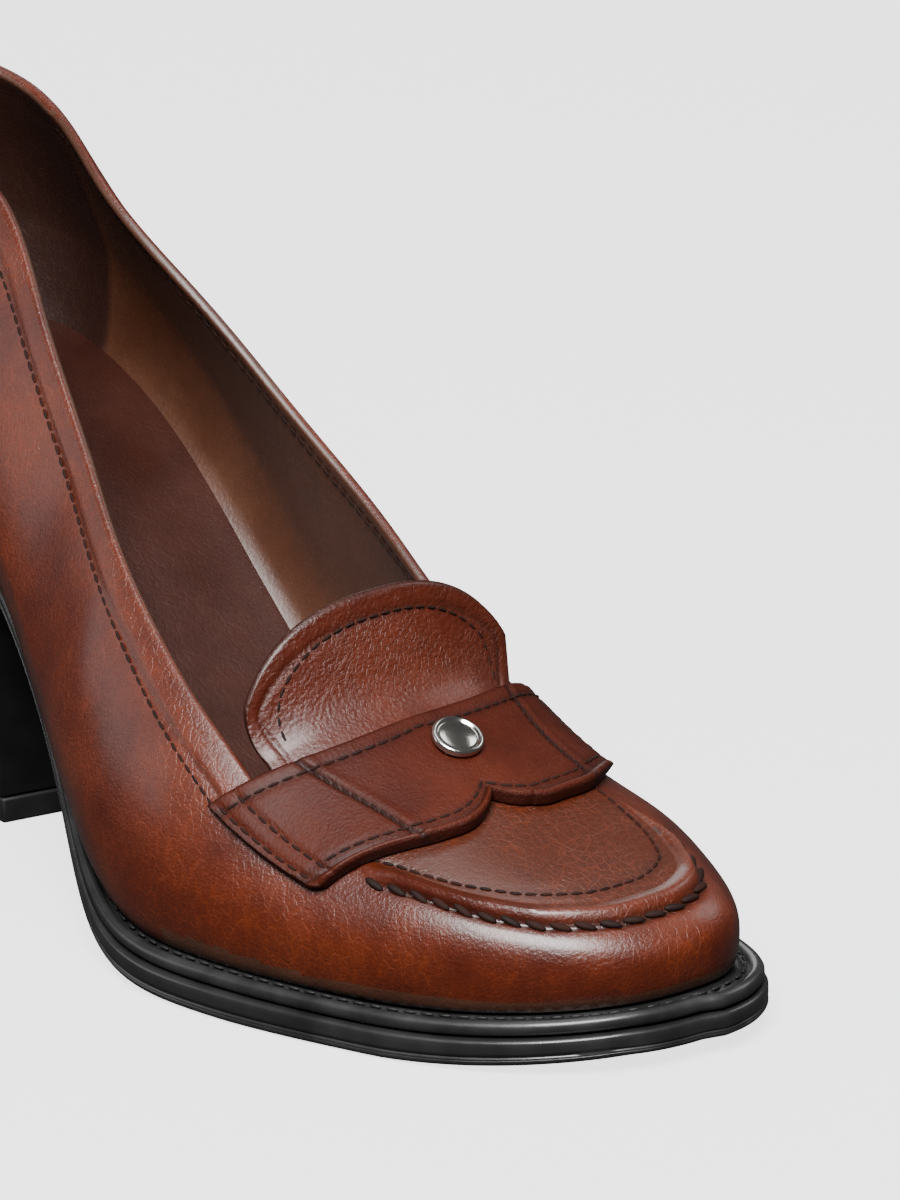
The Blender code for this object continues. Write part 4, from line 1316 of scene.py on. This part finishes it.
    def block(
        self, name: str, node: str, rings: list[np.ndarray], material: bpy.types.Material
    ) -> bpy.types.Object:
        """A block from rings of two sides each, with a flat front and filled ends."""
        front = np.linspace(0.0, 1.0, 13)[1:-1, None]
        loops = []
        for ring in rings:
            face = ring[0][-1] * (1.0 - front) + ring[1][-1] * front
            loops.append(np.concatenate([ring[0], face, ring[1][::-1]]))
        work = grid_bmesh(np.stack(loops, 1))
        bmesh.ops.holes_fill(work, edges=[edge for edge in work.edges if edge.is_boundary])
        piece = finish_piece(name, work, [material], (node,), 30.0)
        bevel = piece.modifiers.new("softened edges", "BEVEL")
        bevel.width = 0.5 * MM
        bevel.segments = 3
        bevel.limit_method = "ANGLE"
        bevel.angle_limit = math.radians(35.0)
        return piece

    def build(self, finishes: dict[str, bpy.types.Material]) -> None:
        """Makes every bottom piece."""
        self.insole().build(finishes["sock"])
        self.welt().build(finishes["welt"])
        self.outsole().build(finishes["sole"])
        levels = [self.heel_ring(level) for level in np.linspace(0.0, 1.0, 14)]
        self.block("heel_block", "heel", levels, finishes["heel"])
        flat = self.heel_ring(1.0) * (1.0, 1.0, 0.0)
        lift = [flat + (0.0, 0.0, self.lift_height * share) for share in (1.0, 0.5, 0.0)]
        self.block("heel_top_lift", "heel_lift", lift, finishes["lift"])

    def welt_seam(self) -> tuple[np.ndarray, np.ndarray]:
        """Line of the welt's stitches round the forefoot, with its upward directions."""
        x = self.seam_from + (LAST.toe_end - self.seam_from) * np.sin(np.linspace(0.0, math.pi / 2.0, 400))
        sides = []
        for side in Side:
            tip = (self.inset(Ledge.WELT, x, Side.OUTER) + self.inset(Ledge.WELT, x, Side.INNER)) / 2.0
            share = LAST.toe_share(x) ** 6
            inset = self.inset(Ledge.WELT, x, side) * (1.0 - share) + tip * share + self.seam_inset
            px, py = LAST.outline(x, side, inset)
            sides.append(np.stack([px, py, LAST.at("bottom", px) - 0.45], -1))
        line = np.concatenate([sides[0], sides[1][-2::-1]])
        return line, np.tile(np.array([0.0, 0.0, 1.0]), (len(line), 1))


@dataclass
class Stud:
    """Plain round metal stud with a turned rim."""

    x: float = 176.2
    turn: float = 0.001
    radius: float = 4.8
    height: float = 1.6
    strap_face: float = 2.6
    profile: tuple = (
        (0.0, 0.86), (0.45, 0.80), (0.66, 0.70), (0.74, 0.62), (0.78, 0.68), (0.84, 0.90), (0.90, 0.96),
        (0.97, 0.80), (1.0, 0.50), (0.97, 0.12), (0.9, 0.0), (0.0, 0.0),
    )

    def build(self, metal: bpy.types.Material) -> bpy.types.Object:
        """Turns the stud's profile round its axis and sets it on the strap."""
        x = np.array([self.x])
        turn = np.array([self.turn])
        base = LAST.section(x, turn)[0]
        normal = LAST.section_normal(x, turn)[0]
        along = unit(np.cross(normal, np.array([0.0, 1.0, 0.0])))
        across = np.cross(normal, along)
        work = bmesh.new()
        chain = [work.verts.new((r * self.radius * MM, 0.0, h * self.height * MM)) for r, h in self.profile]
        edges = [work.edges.new(pair) for pair in zip(chain, chain[1:])]
        bmesh.ops.spin(
            work, geom=chain + edges, cent=(0, 0, 0), axis=(0, 0, 1),
            angle=2.0 * math.pi, steps=48, use_merge=True,
        )
        bmesh.ops.remove_doubles(work, verts=work.verts, dist=1e-6)
        place = Matrix((along, across, normal)).transposed().to_4x4()
        place.translation = Vector(in_row(base + normal * self.strap_face))
        bmesh.ops.transform(work, matrix=place, verts=work.verts)
        return finish_piece("strap_stud_disc", work, [metal], ("strap_stud",), 60.0)


@dataclass
class Studio:
    """Pale floor, soft lights and the photograph's camera."""

    floor_tone: str = "#e4e4e4"
    world_strength: float = 0.11
    floor_glow: float = 2.9
    floor_half: float = 30.0
    view_depth: float = 60.0
    aim: tuple[float, float, float] = (150.0, 0.0, 40.0)
    softboxes: tuple = (
        ("key_softbox", (0.60, -0.56, 1.0), (0.70, 0.62), 54.0),
        ("rear_left_softbox", (-0.72, -0.88, 0.38), (0.45, 0.6), 1.7),
        ("top_softbox", (-0.2, 0.1, 1.5), (0.8, 0.8), 5.0),
        ("right_softbox", (0.1, 1.1, 0.9), (0.5, 0.5), 3.0),
        ("back_softbox", (-1.3, 0.5, 0.45), (0.9, 0.9), 6.0),
    )

    def camera(self) -> bpy.types.Object:
        """Camera at the photograph's angle, from its own pixels."""
        azimuth, elevation, roll = np.radians([CAMERA_AZIMUTH, CAMERA_ELEVATION, CAMERA_ROLL])
        level = math.cos(elevation)
        out = np.array([math.cos(azimuth) * level, -math.sin(azimuth) * level, math.sin(elevation)])
        right = np.array([math.sin(azimuth), math.cos(azimuth), 0.0])
        up = np.cross(right, -out)
        turned_right = math.cos(roll) * right + math.sin(roll) * up
        turned_up = -math.sin(roll) * right + math.cos(roll) * up
        data = bpy.data.cameras.new("photo_camera")
        data.sensor_fit = "VERTICAL"
        data.sensor_height = SENSOR_HEIGHT
        data.lens = FOCAL_PIXELS * SENSOR_HEIGHT / FRAME_PIXELS[1]
        data.shift_x = (FRAME_PIXELS[0] / 2.0 - CENTRE_PIXEL[0]) / FRAME_PIXELS[1]
        data.shift_y = (CENTRE_PIXEL[1] - FRAME_PIXELS[1] / 2.0) / FRAME_PIXELS[1]
        data.clip_end = self.view_depth
        camera = bpy.data.objects.new("photo_camera", data)
        bpy.context.scene.collection.objects.link(camera)
        place = Matrix((turned_right, turned_up, out)).transposed().to_4x4()
        place.translation = Vector(in_row(np.array(CAMERA_TARGET) + out * CAMERA_DISTANCE))
        camera.matrix_world = place
        bpy.context.scene.camera = camera
        return camera

    def light(self, name: str, spot: tuple, size: tuple[float, float], power: float) -> None:
        """A soft box that faces the shoe's forepart."""
        data = bpy.data.lights.new(name, "AREA")
        data.shape = "RECTANGLE"
        data.size, data.size_y = size
        data.energy = power
        lamp = bpy.data.objects.new(name, data)
        bpy.context.scene.collection.objects.link(lamp)
        target = Vector(in_row(np.array(self.aim)))
        lamp.location = target + Vector(spot)
        lamp.rotation_euler = (target - lamp.location).to_track_quat("-Z", "Y").to_euler()

    def floor(self) -> bpy.types.Object:
        """Wide pale floor that glows a little, so that it stays as even as the photograph's."""
        work = bmesh.new()
        bmesh.ops.create_grid(work, x_segments=8, y_segments=8, size=self.floor_half)
        mesh = bpy.data.meshes.new("floor")
        work.to_mesh(mesh)
        work.free()
        material, _, shader = new_surface("pale_studio_floor")
        shader.inputs["Base Color"].default_value = linear("#9a9a9a")
        shader.inputs["Roughness"].default_value = 0.9
        shader.inputs["Emission Color"].default_value = linear(self.floor_tone)
        shader.inputs["Emission Strength"].default_value = self.floor_glow
        mesh.materials.append(material)
        floor = bpy.data.objects.new("floor", mesh)
        bpy.context.scene.collection.objects.link(floor)
        floor.visible_diffuse = False
        floor.visible_glossy = False
        return floor

    def build(self) -> None:
        """Sets up the camera, the floor, the surroundings and the lights."""
        self.camera()
        self.floor()
        world = bpy.data.worlds.new("pale_room")
        world.use_nodes = True
        backdrop = world.node_tree.nodes["Background"]
        backdrop.inputs["Color"].default_value = linear(self.floor_tone)
        backdrop.inputs["Strength"].default_value = self.world_strength
        bpy.context.scene.world = world
        for softbox in self.softboxes:
            self.light(*softbox)


def sew(upper: Upper, strap: Strap, tongue: Tongue, bottom: Bottom) -> None:
    """Sews every visible row of stitches."""
    thread = THREAD.material()
    fine = Stitching("fine_stitches", 2.6, 2.25, 0.30, "upper_leather")
    line, normals = LAST.collar_line(160, upper.band_groove.at, 159.0)
    fine.along(line, normals)
    inner_line, inner_normals = LAST.collar_line(160, upper.lining_seam.at, 162.0)
    fine.along(inner_line - inner_normals * upper.wall, -inner_normals)
    fine.along(*upper.seam_rows(1.0))
    fine.along(*tongue.stitch_line())
    for row, margin, count in ((strap.rear_groove.at, 0.03, 160), (strap.front_groove.at, 0.09, 200)):
        shares = np.linspace(margin, 1.0 - margin, count)
        fine.along(*strap.line(shares, np.full_like(shares, row)))
    rise = np.linspace(0.06, 0.9, 40)
    for row in strap.end_rows:
        for share in (row, 1.0 - row):
            fine.along(*strap.line(np.full_like(rise, share), rise))
    fine.build(thread)
    thick = Stitching("thick_stitches", upper.whip_pitch, 4.3, 0.72, "upper_leather", slant=-17.0, sink=0.28)
    thick.along(*upper.seam_rows(-2.7))
    thick.build(thread)
    braid = Stitching("braided_stitches", 1.9, 2.2, 0.38, "strap_leather", slant=-24.0, sink=0.35)
    rise = np.linspace(0.13, 0.84, 60)
    for first, last in strap.cross_seams:
        braid.along(*strap.line(first + (last - first) * rise, rise))
    braid.build(thread)
    welt = Stitching("welt_stitches", 3.3, 2.5, 0.42, "black_welt", sink=0.2)
    welt.along(*bottom.welt_seam())
    welt.build(BLACK_THREAD.material())


def main() -> None:
    """Builds the shoe's pieces in order, then the studio round it."""
    logging.basicConfig(level=logging.INFO, format="%(message)s")
    upper = Upper()
    upper.build([UPPER_LEATHER.material(), LINING_LEATHER.material()])
    strap = Strap()
    strap.build(STRAP_LEATHER.material())
    tongue = Tongue()
    tongue.build(TONGUE_LEATHER.material())
    bottom = Bottom()
    bottom.build(
        {
            "sock": SOCK_LEATHER.material(),
            "welt": WELT_FINISH.material(),
            "sole": SOLE_FINISH.material(),
            "heel": HEEL_FINISH.material(),
            "lift": LIFT_FINISH.material(),
        }
    )
    Stud().build(STUD_FINISH.material())
    sew(upper, strap, tongue, bottom)
    Studio().build()


if __name__ == "__main__":
    main()
